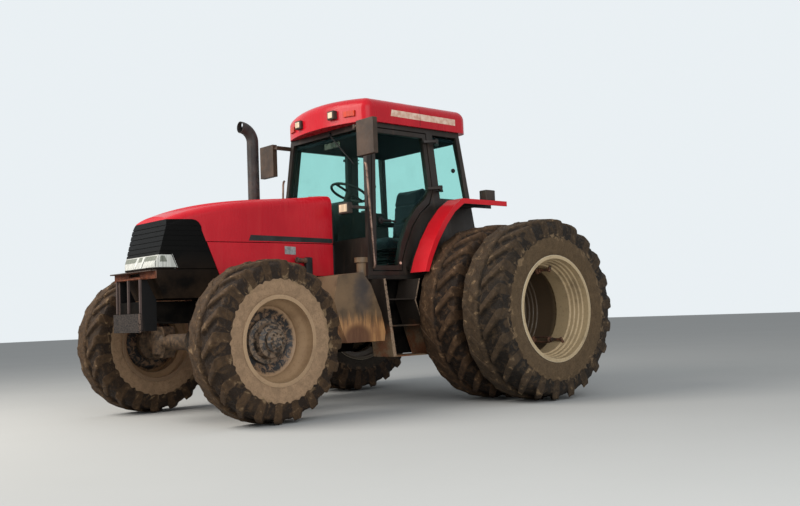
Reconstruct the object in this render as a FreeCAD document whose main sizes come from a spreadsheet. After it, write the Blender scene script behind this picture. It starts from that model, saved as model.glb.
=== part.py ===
import FreeCAD, Part
import math
import os
import re

import Sketcher
from FreeCAD import Placement, Rotation, Vector

# Farm tractor with a cab, front-wheel drive and twin rear wheels, in millimetres.
# X points forward, Y to the tractor's left and Z up. Each sub-part is drawn with X
# measured from the rear axle and Z from the ground, and is then moved along X so
# that the origin lies on the ground under the middle of the tractor.

os.makedirs("parts", exist_ok=True)
doc = FreeCAD.newDocument("tractor")

SIZES = (
    # overall
    ("wheelbase", 2650),
    ("front_reach", 3400),
    ("rear_reach", 1100),
    # front wheels and the kingpins that they steer about
    ("front_radius", 685),
    ("front_width", 370),
    ("front_seat_radius", 356),
    ("front_flange_radius", 381),
    ("front_rim_width", 344),
    ("front_lug_count", 20),
    ("front_lug_rise", 34),
    ("kingpin_track", 1580),
    ("kingpin_offset", 250),
    ("steer_at_rest", 4),
    # rear wheels, an inner and an outer one on each side
    ("rear_radius", 865),
    ("rear_width", 467),
    ("rear_seat_radius", 483),
    ("rear_flange_radius", 508),
    ("rear_rim_width", 444),
    ("rear_inner_track", 2366),
    ("dual_spacing", 582),
    ("rear_lug_count", 22),
    ("rear_lug_rise", 42),
    ("rim_wall", 10),
    ("rim_well_depth", 52),
    ("rim_step", 12),
    # hubs
    ("front_hub_radius", 190),
    ("front_drum_radius", 138),
    ("front_cap_radius", 76),
    ("disc_gap", 6),
    ("seat_gap", 0.3),
    ("rear_shaft_radius", 48),
    ("rear_disc_radius", 250),
    # driveline
    ("engine_front", 2480),
    ("engine_rear", 1500),
    ("engine_width", 420),
    ("engine_base", 780),
    ("engine_top", 1640),
    ("gearbox_width", 400),
    ("gearbox_base", 560),
    ("gearbox_rear", 330),
    ("trumpet_radius", 150),
    ("trumpet_end", 850),
    ("cab_mount_y", 440),
    ("mount_height", 169),
    ("axle_crown", 175),
    ("beam_radius", 74),
    ("barrel_radius", 100),
    ("barrel_height", 230),
    ("yoke_thick", 34),
    ("yoke_width", 120),
    ("rod_radius", 22),
    ("cylinder_radius", 46),
    ("cylinder_length", 460),
    ("rod_setback", 190),
    ("tie_offset", 20),
    ("arm_base", 42),
    # hood and nose
    ("hood_rear", 1450),
    ("hood_front", 3290),
    ("hood_skin", 12),
    ("groove_depth", 5),
    ("groove_pitch", 45),
    ("bulkhead_thick", 12),
    ("hood_half_rear", 425),
    ("hood_half_front", 302),
    ("hood_top_rear", 2085),
    ("hood_seam", 1575),
    ("panel_base", 1262),
    ("nose_split", 1335),
    ("nose_base", 1078),
    ("panel_gap", 6),
    ("lamp_base", 1347),
    ("lamp_top", 1456),
    ("hood_hinge_x", 1500),
    ("hood_hinge_drop", 100),
    ("hood_pin_radius", 10),
    # front ballast bracket
    ("bracket_width", 780),
    ("bracket_top", 1320),
    ("bracket_base", 795),
    ("bracket_plate", 10),
    # cab
    ("cab_floor_rise", 385),
    ("cab_roof_height", 2780),
    ("cab_front_base", 1290),
    ("cab_front_top", 1150),
    ("cab_rear_base", 300),
    ("cab_rear_top", 130),
    ("cab_half_base", 760),
    ("cab_half_top", 640),
    ("cab_wall", 55),
    ("glass_thick", 6),
    ("door_gap", 10),
    ("roof_height", 265),
    ("roof_overhang", 30),
    ("roof_corner", 112),
    ("roof_bow", 110),
    ("roof_edge", 105),
    ("roof_crown", 9000),
    ("floor_depth", 40),
    ("mat_rise", 20),
    ("hinge_x", 285),
    ("hinge_offset", 70),
    ("hinge_eye", 17),
    ("hinge_pin_radius", 9),
    ("window_hinge_height", 2752),
    ("window_pin_radius", 6),
    # fenders
    ("fender_inner", 812),
    ("fender_outer", 1050),
    ("fender_top", 2012),
    ("fender_rear", 400),
    ("fender_skin", 12),
    ("fender_lip", 52),
    # tank and steps
    ("tank_inner", 500),
    ("tank_outer", 930),
    ("step_outer", 935),
    ("step_inner", 640),
    ("step_plate", 12),
    # steering wheel
    ("wheel_x", 880),
    ("wheel_height", 2160),
    ("wheel_tilt", 25),
    ("column_length", 210),
    # rear linkage
    ("link_pivot_x", 120),
    ("link_pivot_height", 610),
    ("link_pivot_half", 250),
    ("link_end_half", 435),
    ("link_thick", 26),
    ("link_pin_radius", 16),
    ("link_depth", 76),
    ("ball_radius", 14),
    ("arm_pivot_x", 400),
    ("arm_pivot_height", 1080),
    ("arm_length", 330),
    ("arm_pin_radius", 14),
    ("housing_half", 190),
    ("top_link_length", 520),
    ("top_link_raise", 65),
    ("top_ball_radius", 12.75),
    ("drawbar_height", 455),
    ("drawbar_thick", 32),
    ("drawbar_pin_radius", 16),
    ("pto_radius", 17.5),
    ("pto_height", 760),
    # exhaust
    ("exhaust_x", 1730),
    ("exhaust_half", 505),
    ("exhaust_base", 1345),
    ("exhaust_radius", 60),
    ("exhaust_top", 2694),
    ("exhaust_bend", 146),
)
FOLLOWING = (
    ("cab_floor_height", "=rear_radius + cab_floor_rise"),
    ("hood_hinge_height", "=hood_top_rear - hood_hinge_drop"),
)

sheet = doc.addObject("Spreadsheet::Sheet", "sizes")
for row, (name, entry) in enumerate(SIZES + FOLLOWING, start=1):
    sheet.set("A%d" % row, name)
    sheet.set("B%d" % row, str(entry))
    sheet.setAlias("B%d" % row, name)
doc.recompute()

NAMES = {name for name, entry in SIZES + FOLLOWING}
SHIFT = "(rear_reach - front_reach) / 2"
published = []


def bound(text):
    """The expression with each size name pointed at the sheet."""
    return re.sub(r"[a-z]\w*", lambda word: "sizes." + word.group(0)
                  if word.group(0) in NAMES else word.group(0), str(text))


def size(text):
    """The number that an expression of size names has."""
    return float(sheet.evalExpression(bound(text)))


def publish(thing, node, x="0", y="0", z="0", turn="0", tilt="0"):
    """Name a finished sub-part, and seat its own origin x, y, z from the rear axle."""
    thing.Label = node
    thing.Placement = Placement(Vector(), Rotation(Vector(0, 0, 1), size(turn))
                                * Rotation(Vector(0, 1, 0), size(tilt)))
    for axis, text in zip("xyz", (SHIFT + " + " + str(x), y, z)):
        thing.setExpression("Placement.Base." + axis, bound(text))
    published.append(thing)
    return thing


def shaped(node, shape, **seat):
    """A finished sub-part whose shape comes from Part's own functions."""
    thing = doc.addObject("Part::Feature", node)
    thing.Shape = shape
    return publish(thing, node, **seat)


def body_of(name):
    return doc.addObject("PartDesign::Body", name)


def sketch_on(body, plane, outline, offset="0"):
    """Closed sketch on an origin plane. An outline has (across, up) corners, and
    ("arc", through, end) entries for round stretches."""
    sketch = body.newObject("Sketcher::SketchObject", body.Name + "_outline")
    face = [part for part in body.Origin.OriginFeatures if part.Role == plane][0]
    sketch.AttachmentSupport = [(face, "")]
    sketch.MapMode = "FlatFace"
    sketch.setExpression("AttachmentOffset.Base.z", bound(offset))
    ends = [step[2] if step[0] == "arc" else step for step in outline]
    spots = [Vector(size(across), size(up), 0) for across, up in ends]
    count = len(outline)
    for index in range(count):
        step = outline[(index + 1) % count]
        first, last = spots[index], spots[(index + 1) % count]
        if step[0] == "arc":
            through = Vector(size(step[1][0]), size(step[1][1]), 0)
            sketch.addGeometry(Part.Arc(first, through, last))
            radius = sketch.Geometry[index].Radius
            sketch.addConstraint(Sketcher.Constraint("Radius", index, radius))
        else:
            sketch.addGeometry(Part.LineSegment(first, last))
    for index, (across, up) in enumerate(ends):
        here = sketch.Geometry[index]
        if isinstance(here, Part.ArcOfCircle):
            start = 1 if here.StartPoint.distanceToPoint(spots[index]) < 0.01 else 2
        else:
            start = 1
        before = (index - 1) % count
        there = sketch.Geometry[before]
        if isinstance(there, Part.ArcOfCircle):
            finish = 1 if there.StartPoint.distanceToPoint(spots[index]) < 0.01 else 2
        else:
            finish = 2
        sketch.addConstraint(Sketcher.Constraint("Coincident", before, finish, index, start))
        for kind, text, number in (("DistanceX", across, spots[index].x),
                                   ("DistanceY", up, spots[index].y)):
            place = sketch.addConstraint(Sketcher.Constraint(kind, -1, 1, index, start, number))
            sketch.setExpression("Constraints[%d]" % place, bound(text))
    return sketch


def pad(body, plane, outline, width, offset="0"):
    """Plate of the outline, its thickness shared by both sides of the sketch."""
    feature = body.newObject("PartDesign::Pad", body.Name + "_pad")
    feature.Profile = sketch_on(body, plane, outline, offset)
    feature.setExpression("Length", bound(width))
    feature.Midplane = True
    return feature


def prism(name, plane, outline, width, offset="0"):
    """Body with one pad."""
    body = body_of(name)
    pad(body, plane, outline, width, offset)
    return body


def turned(name, outline, plane="YZ_Plane"):
    """Body turned about the sketch's horizontal axis: corners are (along, radius)."""
    body = body_of(name)
    feature = body.newObject("PartDesign::Revolution", name + "_turn")
    sketch = sketch_on(body, plane, outline)
    feature.Profile = sketch
    feature.ReferenceAxis = (sketch, ["H_Axis"])
    feature.Angle = 360
    return body


def block(name, low, high):
    """Plain box between two corners."""
    box = doc.addObject("Part::Box", name)
    for axis, side, first, last in zip("xyz", ("Length", "Width", "Height"), low, high):
        box.setExpression("Placement.Base." + axis, bound(first))
        box.setExpression(side, bound("(%s) - (%s)" % (last, first)))
    return box


AIM = {"x": Rotation(Vector(0, 1, 0), 90), "y": Rotation(Vector(1, 0, 0), -90), "z": Rotation()}


def rod(name, along, start, radius, length):
    """Round bar from a start point along one axis."""
    bar = doc.addObject("Part::Cylinder", name)
    bar.Placement = Placement(Vector(), AIM[along])
    for axis, text in zip("xyz", start):
        bar.setExpression("Placement.Base." + axis, bound(text))
    bar.setExpression("Radius", bound(radius))
    bar.setExpression("Height", bound(length))
    return bar


def joined(name, parts):
    thing = doc.addObject("Part::MultiFuse", name)
    thing.Shapes = parts
    return thing


def without(name, base, tool):
    thing = doc.addObject("Part::Cut", name)
    thing.Base = base
    thing.Tool = tool
    return thing


def shared(name, first, second):
    thing = doc.addObject("Part::Common", name)
    thing.Base = first
    thing.Tool = second
    return thing


def mirrored(name, source):
    thing = doc.addObject("Part::Mirroring", name)
    thing.Source = source
    thing.Normal = Vector(0, 1, 0)
    return thing


def together(name, parts):
    """Like pieces that don't touch, kept as one sub-part."""
    thing = doc.addObject("Part::Compound", name)
    thing.Links = parts
    return thing


def pair(name, source):
    """A left piece and its mirror image."""
    return together(name, [source, mirrored(name + "_right", source)])


SIDES = (("left", 1), ("right", -1))


def ring(centre, radius, angles):
    """Corners round a wheel's axis, each (angle, point); angles run from the top forward."""
    return [(angle, Vector(radius * math.sin(angle), centre, radius * math.cos(angle)))
            for angle in angles]


def stitched(first, second):
    """Triangles between two closed rings of corners."""
    faces = []
    one, two = 0, 0
    turn = 2 * math.pi
    while one < len(first) or two < len(second):
        here = first[one % len(first)]
        there = second[two % len(second)]
        next_one = first[(one + 1) % len(first)]
        next_two = second[(two + 1) % len(second)]
        angle_one = next_one[0] + (turn if one + 1 >= len(first) else 0)
        angle_two = next_two[0] + (turn if two + 1 >= len(second) else 0)
        if two >= len(second) or (one < len(first) and angle_one <= angle_two):
            faces.append((here[1], next_one[1], there[1]))
            one += 1
        else:
            faces.append((here[1], next_two[1], there[1]))
            two += 1
    return faces


def quad(first, second, third, fourth):
    return [(first, second, third), (first, third, fourth)]


def lugged_tyre(prefix, centre):
    """Tyre with slanted lugs on each half, the halves half a pitch apart. Its lugs'
    inner ends lead at the top, as a driving tyre's do."""
    radius = size(prefix + "_radius")
    half_width = size(prefix + "_width / 2")
    bead_half = size(prefix + "_rim_width / 2 - rim_wall") - 6
    bead = size(prefix + "_seat_radius + seat_gap")
    rise = size(prefix + "_lug_rise")
    count = int(round(size(prefix + "_lug_count")))
    pitch = 2 * math.pi / count
    sweep = 0.93 * half_width / radius
    root_half, top_half = 0.19 * pitch, 0.12 * pitch
    shoulder_root_half, shoulder_top_half = 0.25 * pitch, 0.17 * pitch
    seat_scale = 1 / math.cos(math.pi / count)
    round_trip = [index * pitch for index in range(count)]
    faces = []
    middles, beads = [], []
    for half, stagger in ((-1, 0.0), (1, 0.5 * pitch)):
        near = centre + half * 14
        shoulder = centre + half * 0.955 * half_width
        shoulder_top = centre + half * 0.90 * half_width
        apexes = [stagger + index * pitch for index in range(count)]
        middle = ring(near, radius - rise,
                      [a + s * root_half for a in apexes for s in (-1, 1)])
        middle_top = ring(near + half * 10, radius,
                          [a + s * top_half for a in apexes for s in (-1, 1)])
        edge = ring(shoulder, radius - rise - 26,
                    [a - sweep + s * shoulder_root_half for a in apexes for s in (-1, 1)])
        edge_top = ring(shoulder_top, radius - 12,
                        [a - sweep + s * shoulder_top_half for a in apexes for s in (-1, 1)])
        for index in range(0, 2 * count, 2):
            m0, m1 = middle[index][1], middle[index + 1][1]
            t0, t1 = middle_top[index][1], middle_top[index + 1][1]
            e0, e1 = edge[index][1], edge[index + 1][1]
            u0, u1 = edge_top[index][1], edge_top[index + 1][1]
            m2, e2 = middle[(index + 2) % (2 * count)][1], edge[(index + 2) % (2 * count)][1]
            for corners in ((t0, t1, u1, u0), (m0, t0, u0, e0), (t1, m1, e1, u1),
                            (m0, m1, t1, t0), (e0, u0, u1, e1), (m1, m2, e2, e1)):
                faces += quad(*corners)
        bulge = ring(centre + half * half_width, bead + 0.42 * (radius - bead), round_trip)
        seat = ring(centre + half * bead_half, bead * seat_scale, round_trip)
        spread = sorted(((angle % (2 * math.pi)), point) for angle, point in
                        ((a, (p.x, p.y, p.z)) for a, p in edge))
        spread = [(angle, Vector(*point)) for angle, point in spread]
        faces += stitched(spread, bulge)
        faces += stitched(bulge, seat)
        middles.append([(a % (2 * math.pi), p) for a, p in middle])
        beads.append(seat)
    for pair_of_rings in (middles, beads):
        first, second = [sorted(one, key=lambda corner: corner[0]) for one in pair_of_rings]
        faces += stitched(first, second)
    shell = Part.Shell([Part.Face(Part.makePolygon([a, b, c, a])) for a, b, c in faces])
    solid = Part.Solid(shell)
    if solid.Volume < 0:
        solid.reverse()
    return solid


# Front wheels, drawn about the kingpin at the height of the wheel's axis
for side_name, side in SIDES:
    wheel = dict(x="wheelbase", y="%d * kingpin_track / 2" % side, z="front_radius",
                 turn="steer_at_rest")

    def out(text, side=side):
        """Along the wheel's axis, outward from the kingpin."""
        return "%d * (%s)" % (side, text)

    shaped("front_tyre_" + side_name, lugged_tyre("front", size(out("kingpin_offset"))), **wheel)
    rim_out = "(kingpin_offset + front_rim_width / 2)"
    rim_in = "(kingpin_offset - front_rim_width / 2)"
    seat = "front_seat_radius"
    well = "(front_seat_radius - rim_well_depth)"
    disc_in = "(kingpin_offset - 12)"
    rim = turned("front_rim", (
        (out(rim_in), "front_flange_radius"),
        (out(rim_in + " + rim_wall"), "front_flange_radius"),
        (out(rim_in + " + rim_wall"), seat),
        (out(rim_in + " + 60"), seat),
        (out(rim_in + " + 85"), well),
        (out(rim_out + " - 150"), well),
        (out(rim_out + " - 60"), seat),
        (out(rim_out + " - rim_wall"), seat),
        (out(rim_out + " - rim_wall"), "front_flange_radius"),
        (out(rim_out), "front_flange_radius"),
        (out(rim_out), seat + " - rim_wall"),
        (out(rim_out + " - 56"), seat + " - rim_wall"),
        (out(rim_out + " - 146"), well + " - rim_wall"),
        (out(disc_in + " + 16"), well + " - rim_wall"),
        (out(disc_in + " + 16 - 40"), "front_hub_radius + 34"),
        (out(disc_in + " + 16 - 40"), "front_drum_radius + 4"),
        (out(disc_in + " - 40"), "front_drum_radius + 4"),
        (out(disc_in + " - 40"), "front_hub_radius + 40"),
        (out(disc_in), well + " - rim_wall"),
        (out(rim_in + " + 81"), well + " - rim_wall"),
        (out(rim_in + " + 56"), seat + " - rim_wall"),
        (out(rim_in), seat + " - rim_wall"),
    ))
    publish(rim, "front_rim_" + side_name, **wheel)
    hub_face = "(%s - 24)" % disc_in
    drum_end = "(%s - 40 - disc_gap)" % disc_in
    hub = turned("front_hub", (
        (out(drum_end + " + seat_gap"), "0"),
        (out(drum_end + " + seat_gap"), "front_drum_radius"),
        (out(hub_face), "front_drum_radius"),
        (out(hub_face), "front_hub_radius"),
        (out(hub_face + " + 26"), "front_hub_radius"),
        (out(hub_face + " + 34"), "front_drum_radius + 14"),
        (out(hub_face + " + 96"), "front_drum_radius"),
        (out(hub_face + " + 110"), "front_drum_radius - 26"),
        (out(hub_face + " + 118"), "front_cap_radius + 24"),
        (out(hub_face + " + 146"), "front_cap_radius + 18"),
        (out(hub_face + " + 152"), "front_cap_radius"),
        (out(hub_face + " + 160"), "front_cap_radius - 10"),
        (out(hub_face + " + 160"), "0"),
    ))
    publish(hub, "front_hub_" + side_name, **wheel)

    # Knuckle: a round barrel on the kingpin, the reduction drum and the steering arm
    barrel = rod("barrel", "z", ("0", "0", "-barrel_height / 2"), "barrel_radius", "barrel_height")
    drum = turned("drum", (
        (out("0"), "0"),
        (out("0"), "barrel_radius - 12"),
        (out("barrel_radius + 12"), "barrel_radius"),
        (out("barrel_radius + 26"), "front_hub_radius - 18"),
        (out(drum_end), "front_hub_radius - 18"),
        (out(drum_end), "0"),
    ))
    arm = block("arm", ("-rod_setback - 34", "tie_offset * %d - 30" % side, "arm_base"),
                ("-barrel_radius / 2", "tie_offset * %d + 30" % side, "arm_base + 32"))
    knuckle = joined("knuckle", [barrel, drum, arm])
    publish(knuckle, "knuckle_" + side_name, **wheel)

# Rear wheels, drawn about the rear axle
for side_name, side in SIDES:
    wheel = dict(z="rear_radius")

    def out(text, side=side):
        """Along the rear axle, outward from the middle of the tractor."""
        return "%d * (%s)" % (side, text)

    centres = {"inner": "rear_inner_track / 2", "outer": "rear_inner_track / 2 + dual_spacing"}
    rims = []
    for place, centre in centres.items():
        shaped("rear_%s_tyre_%s" % (place, side_name), lugged_tyre("rear", size(out(centre))),
               **wheel)
        rim_out = "(%s + rear_rim_width / 2)" % centre
        rim_in = "(%s - rear_rim_width / 2)" % centre
        seat = "rear_seat_radius"
        well = "(rear_seat_radius - rim_well_depth)"
        rims.append(turned("rear_rim_" + place, (
            (out(rim_in), "rear_flange_radius"),
            (out(rim_in + " + rim_wall"), "rear_flange_radius"),
            (out(rim_in + " + rim_wall"), seat),
            (out(rim_in + " + 60"), seat),
            (out(rim_in + " + 90"), well),
            (out(rim_out + " - 206"), well),
            (out(rim_out + " - 198"), seat + " - 3 * rim_step"),
            (out(rim_out + " - 162"), seat + " - 3 * rim_step"),
            (out(rim_out + " - 156"), seat + " - 2 * rim_step"),
            (out(rim_out + " - 120"), seat + " - 2 * rim_step"),
            (out(rim_out + " - 114"), seat + " - rim_step"),
            (out(rim_out + " - 78"), seat + " - rim_step"),
            (out(rim_out + " - 72"), seat),
            (out(rim_out + " - rim_wall"), seat),
            (out(rim_out + " - rim_wall"), "rear_flange_radius"),
            (out(rim_out), "rear_flange_radius"),
            (out(rim_out), seat + " - rim_wall"),
            (out(rim_out + " - 62"), seat + " - rim_wall"),
            (out(rim_out + " - 68"), seat + " - rim_wall - rim_step"),
            (out(rim_out + " - 104"), seat + " - rim_wall - rim_step"),
            (out(rim_out + " - 110"), seat + " - rim_wall - 2 * rim_step"),
            (out(rim_out + " - 146"), seat + " - rim_wall - 2 * rim_step"),
            (out(rim_out + " - 152"), seat + " - rim_wall - 3 * rim_step"),
            (out(rim_out + " - 188"), seat + " - rim_wall - 3 * rim_step"),
            (out(rim_out + " - 196"), well + " - rim_wall"),
            (out(rim_in + " + 86"), well + " - rim_wall"),
            (out(rim_in + " + 56"), seat + " - rim_wall"),
            (out(rim_in), seat + " - rim_wall"),
        )))
    # Drum that holds the outer rim off the inner one, seated between their flanges
    gap_in = "(rear_inner_track + rear_rim_width) / 2"
    gap_out = "(rear_inner_track - rear_rim_width) / 2 + dual_spacing"
    rims.append(turned("dual_band", (
        (out(gap_in), "rear_flange_radius - 8"),
        (out(gap_out), "rear_flange_radius - 8"),
        (out(gap_out), "rear_seat_radius - rim_wall"),
        (out(gap_in), "rear_seat_radius - rim_wall"),
    )))
    disc_y = "(rear_inner_track / 2 - 40)"
    rims.append(turned("rear_disc", (
        (out(disc_y), "rear_shaft_radius"),
        (out(disc_y + " + 24"), "rear_shaft_radius"),
        (out(disc_y + " + 24"), "rear_disc_radius"),
        (out(disc_y + " + 84"), "rear_seat_radius - rim_well_depth - rim_wall - 40"),
        (out(disc_y + " + 84"), "rear_seat_radius - rim_well_depth - rim_wall"),
        (out(disc_y + " + 66"), "rear_seat_radius - rim_well_depth - rim_wall"),
        (out(disc_y + " + 66"), "rear_seat_radius - rim_well_depth - rim_wall - 40"),
        (out(disc_y), "rear_disc_radius + 10"),
    )))
    publish(joined("rear_rims", rims), "rear_rims_" + side_name, **wheel)
    # Bar axle with the cast hub that clamps the disc
    hub = turned("rear_hub", (
        (out("trumpet_end + seat_gap"), "0"),
        (out("trumpet_end + seat_gap"), "rear_shaft_radius + 34"),
        (out("trumpet_end + 30"), "rear_shaft_radius + 34"),
        (out("trumpet_end + 30"), "rear_shaft_radius"),
        (out(disc_y + " - 110"), "rear_shaft_radius"),
        (out(disc_y + " - 90"), "rear_shaft_radius + 60"),
        (out(disc_y + " - 30"), "rear_shaft_radius + 80"),
        (out(disc_y + " - 24"), "rear_disc_radius - 30"),
        (out(disc_y), "rear_disc_radius - 30"),
        (out(disc_y), "rear_shaft_radius"),
        (out(disc_y + " + 380"), "rear_shaft_radius"),
        (out(disc_y + " + 380"), "0"),
    ))
    publish(hub, "rear_hub_" + side_name, **wheel)

# Front axle: beam with a diff bowl, a yoke at each end and the steering cylinder
YOKE_IN = "(kingpin_track / 2 - barrel_radius - disc_gap)"
half_beam = turned("half_beam", (
    ("0", "0"),
    ("0", "160"),
    ("60", "156"),
    ("120", "beam_radius + 26"),
    ("200", "beam_radius + 6"),
    (YOKE_IN + " - 40", "beam_radius"),
    (YOKE_IN, "beam_radius + 22"),
    (YOKE_IN, "0"),
))
yoke = body_of("yoke")
pad(yoke, "YZ_Plane", (
    (YOKE_IN + " - 60", "-beam_radius"),
    (YOKE_IN + " - 60", "beam_radius"),
    (YOKE_IN + " - 20", "barrel_height / 2 + seat_gap + yoke_thick"),
    ("kingpin_track / 2 + 45", "barrel_height / 2 + seat_gap + yoke_thick"),
    ("kingpin_track / 2 + 45", "barrel_height / 2 + seat_gap"),
    (YOKE_IN, "barrel_height / 2 + seat_gap"),
    (YOKE_IN, "-barrel_height / 2 - seat_gap"),
    ("kingpin_track / 2 + 45", "-barrel_height / 2 - seat_gap"),
    ("kingpin_track / 2 + 45", "-barrel_height / 2 - seat_gap - yoke_thick"),
    (YOKE_IN + " - 20", "-barrel_height / 2 - seat_gap - yoke_thick"),
), "yoke_width")
half_axle = joined("half_axle", [half_beam, yoke])
cylinder = without("steering_cylinder", rod("cylinder_body", "y",
                   ("-rod_setback", "-cylinder_length / 2", "0"), "cylinder_radius",
                   "cylinder_length"),
                   rod("cylinder_bore", "y", ("-rod_setback", "-cylinder_length / 2 - 5", "0"),
                       "rod_radius + seat_gap", "cylinder_length + 10"))
saddles = [block("saddle", ("-rod_setback + cylinder_radius - 12", y, "-25"),
                 ("-40", y + " + 50", "25")) for y in ("-220", "170")]
axle = joined("axle_beam", [half_axle, mirrored("half_axle_right", half_axle), cylinder]
              + saddles)
pivot = block("axle_pivot", ("-110", "-70", "60"), ("110", "70", "axle_crown - seat_gap"))
axle = joined("front_axle_whole", [axle, pivot])
publish(axle, "front_axle", x="wheelbase", z="front_radius")

# Steering rod: the cylinder's through rod and the two tie rods that its ends carry
ROD_REACH = "(kingpin_track / 2 + tie_offset)"
steering_rod = joined("steering_rod_whole", [
    rod("through_rod", "y", ("-rod_setback", "-" + ROD_REACH, "0"), "rod_radius",
        "2 * " + ROD_REACH),
] + [rod("rod_eye", "z", ("-rod_setback", y, "-28"), "32", "28 + arm_base - seat_gap")
     for y in ("-" + ROD_REACH, ROD_REACH)])
publish(steering_rod, "steering_rod", x="wheelbase", y="-rod_setback * steer_at_rest * pi / 180",
        z="front_radius")

# Engine as one plain block, radiator, front frame, gearbox and axle trumpets
publish(together("engine", [block("engine_box", ("engine_rear", "-engine_width / 2", "engine_base"),
                                  ("engine_front", "engine_width / 2", "engine_top"))]),
        "engine_block")
frame = prism("front_frame_side", "XZ_Plane", (
    ("engine_front", "800"), ("engine_front", "1056"), ("front_reach - 40", "1056"),
    ("front_reach - 40", "900"), ("wheelbase + 260", "front_radius + axle_crown"),
    ("wheelbase - 140", "front_radius + axle_crown"), ("wheelbase - 165", "800")),
    "2 * 190")
publish(frame, "front_frame")
GEARBOX_TOP = "(cab_floor_height - 30)"
MOUNT_SEAT = "(cab_floor_height - 63)"
gearbox = prism("gearbox", "XZ_Plane", (
    ("engine_rear", "engine_base - 60"), ("engine_rear", GEARBOX_TOP),
    ("1100", MOUNT_SEAT), ("1000", MOUNT_SEAT), ("900", "cab_floor_height - 80"),
    ("300", "cab_floor_height - 120"), ("-gearbox_rear", "cab_floor_height - 120"),
    ("-gearbox_rear", "gearbox_base"), ("350", "gearbox_base"), ("600", "gearbox_base + 60"),
    ("1300", "gearbox_base + 60")), "gearbox_width")
pins = [rod("link_boss", "y", ("-link_pivot_x", "gearbox_width / 2", "link_pivot_height"), "42",
            "link_pivot_half - gearbox_width / 2 - link_thick / 2 - seat_gap"),
        rod("link_pin", "y", ("-link_pivot_x", "gearbox_width / 2", "link_pivot_height"),
            "link_pin_radius", "link_pivot_half - gearbox_width / 2 + link_thick / 2 + 14")]
pin_set = joined("link_pin_set", pins)
publish(joined("gearbox_whole", [gearbox, pin_set, mirrored("link_pin_set_right", pin_set)]),
        "transmission")
trumpet_pipe = turned("trumpet_pipe", (
    ("gearbox_width / 2", "0"),
    ("gearbox_width / 2", "trumpet_radius + 60"),
    ("gearbox_width / 2 + 60", "trumpet_radius + 50"),
    ("gearbox_width / 2 + 120", "trumpet_radius"),
    ("trumpet_end - 60", "trumpet_radius - 50"),
    ("trumpet_end - 50", "trumpet_radius - 30"),
    ("trumpet_end", "trumpet_radius - 30"),
    ("trumpet_end", "0"),
))
PAD_TOP = "(cab_floor_height - floor_depth - mount_height)"
trumpet = joined("trumpet", [trumpet_pipe, block(
    "cab_pad", ("-70", "cab_mount_y - 60", "-trumpet_radius / 2"),
    ("70", "cab_mount_y + 60", PAD_TOP + " - rear_radius"))])
publish(pair("trumpets", trumpet), "rear_axle_housings", z="rear_radius")

# Front ballast bracket: a foot and three flats on the frame's nose, side plates, and a
# slotted band under a shelf
BAND_BASE = "(bracket_top - 72)"
bracket_plates = [
    block("bracket_shelf", ("hood_front + 8", "-bracket_width / 2", "bracket_top - bracket_plate"),
          ("hood_front + 68", "bracket_width / 2", "bracket_top")),
    block("bracket_sill", ("hood_front + 8", "-235", BAND_BASE),
          ("front_reach - 22", "235", BAND_BASE + " + bracket_plate")),
    block("bracket_foot", ("front_reach - 22", "-240", "bracket_base"),
          ("front_reach", "240", "bracket_base + 160")),
    without("bracket_band_cut", block(
        "bracket_band", ("hood_front + 8", "-bracket_width / 2", BAND_BASE),
        ("hood_front + 24", "bracket_width / 2", "bracket_top - bracket_plate")), block(
            "bracket_slot", ("hood_front", "-104", "bracket_top - 44"),
            ("hood_front + 40", "104", "bracket_top - bracket_plate - 4"))),
]
for y in ("-220", "0", "220"):
    bracket_plates.append(block("bracket_flat", ("front_reach - 40", y + " - 9", "bracket_base + 20"),
                                ("front_reach - 22", y + " + 9", BAND_BASE)))
for name, y in (("cheek_left", "-197 - seat_gap"), ("cheek_right", "197 + seat_gap")):
    bracket_plates.append(prism(name, "XZ_Plane", (
        ("front_reach - 40", "bracket_base + 10"), ("front_reach - 40", BAND_BASE),
        ("hood_front + 10", BAND_BASE), ("hood_front - 80", "nose_base - 10"),
        ("hood_front - 80", "bracket_base + 10")), "14", y))
publish(joined("bracket_whole", bracket_plates), "front_bracket")

# Hood: one outer form, from which the hood, nose, lamps and side panels are parted
HOOD_SECTIONS = (
    # share of the way from rear to nose, share of the narrowing, drop of the crown
    (0.0, 0.0, 0.0),
    (0.46, 0.16, 90.0),
    (0.77, 0.60, 185.0),
    (1.0, 1.0, 375.0),
)


def hood_form(skin):
    """Solid under the hood's surface, moved in by the skin."""
    rear, front = size("hood_rear"), size("hood_front")
    half_rear, half_front = size("hood_half_rear"), size("hood_half_front")
    low = size("nose_base") - 40
    wires = []
    for way, narrowing, drop in HOOD_SECTIONS:
        x = rear + way * (front - rear)
        x += {0.0: -60, 1.0: 60}.get(way, 0)
        half = half_rear + narrowing * (half_front - half_rear) - skin
        crown = size("hood_top_rear") - drop - skin
        shoulder = crown - 105
        bend = crown - 30
        inset = half - 62
        left = [Vector(x, -half, low), Vector(x, -half, shoulder)]
        right = [Vector(x, half, shoulder), Vector(x, half, low)]
        corner = Vector(x, half - 18, crown - 58)
        wires.append(Part.Wire([
            Part.LineSegment(left[0], left[1]).toShape(),
            Part.Arc(left[1], Vector(x, -corner.y, corner.z), Vector(x, -inset, bend)).toShape(),
            Part.Arc(Vector(x, -inset, bend), Vector(x, 0, crown), Vector(x, inset, bend)).toShape(),
            Part.Arc(Vector(x, inset, bend), corner, right[0]).toShape(),
            Part.LineSegment(right[0], right[1]).toShape(),
            Part.LineSegment(right[1], left[0]).toShape(),
        ]))
    return Part.makeLoft(wires, True, False)


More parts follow.
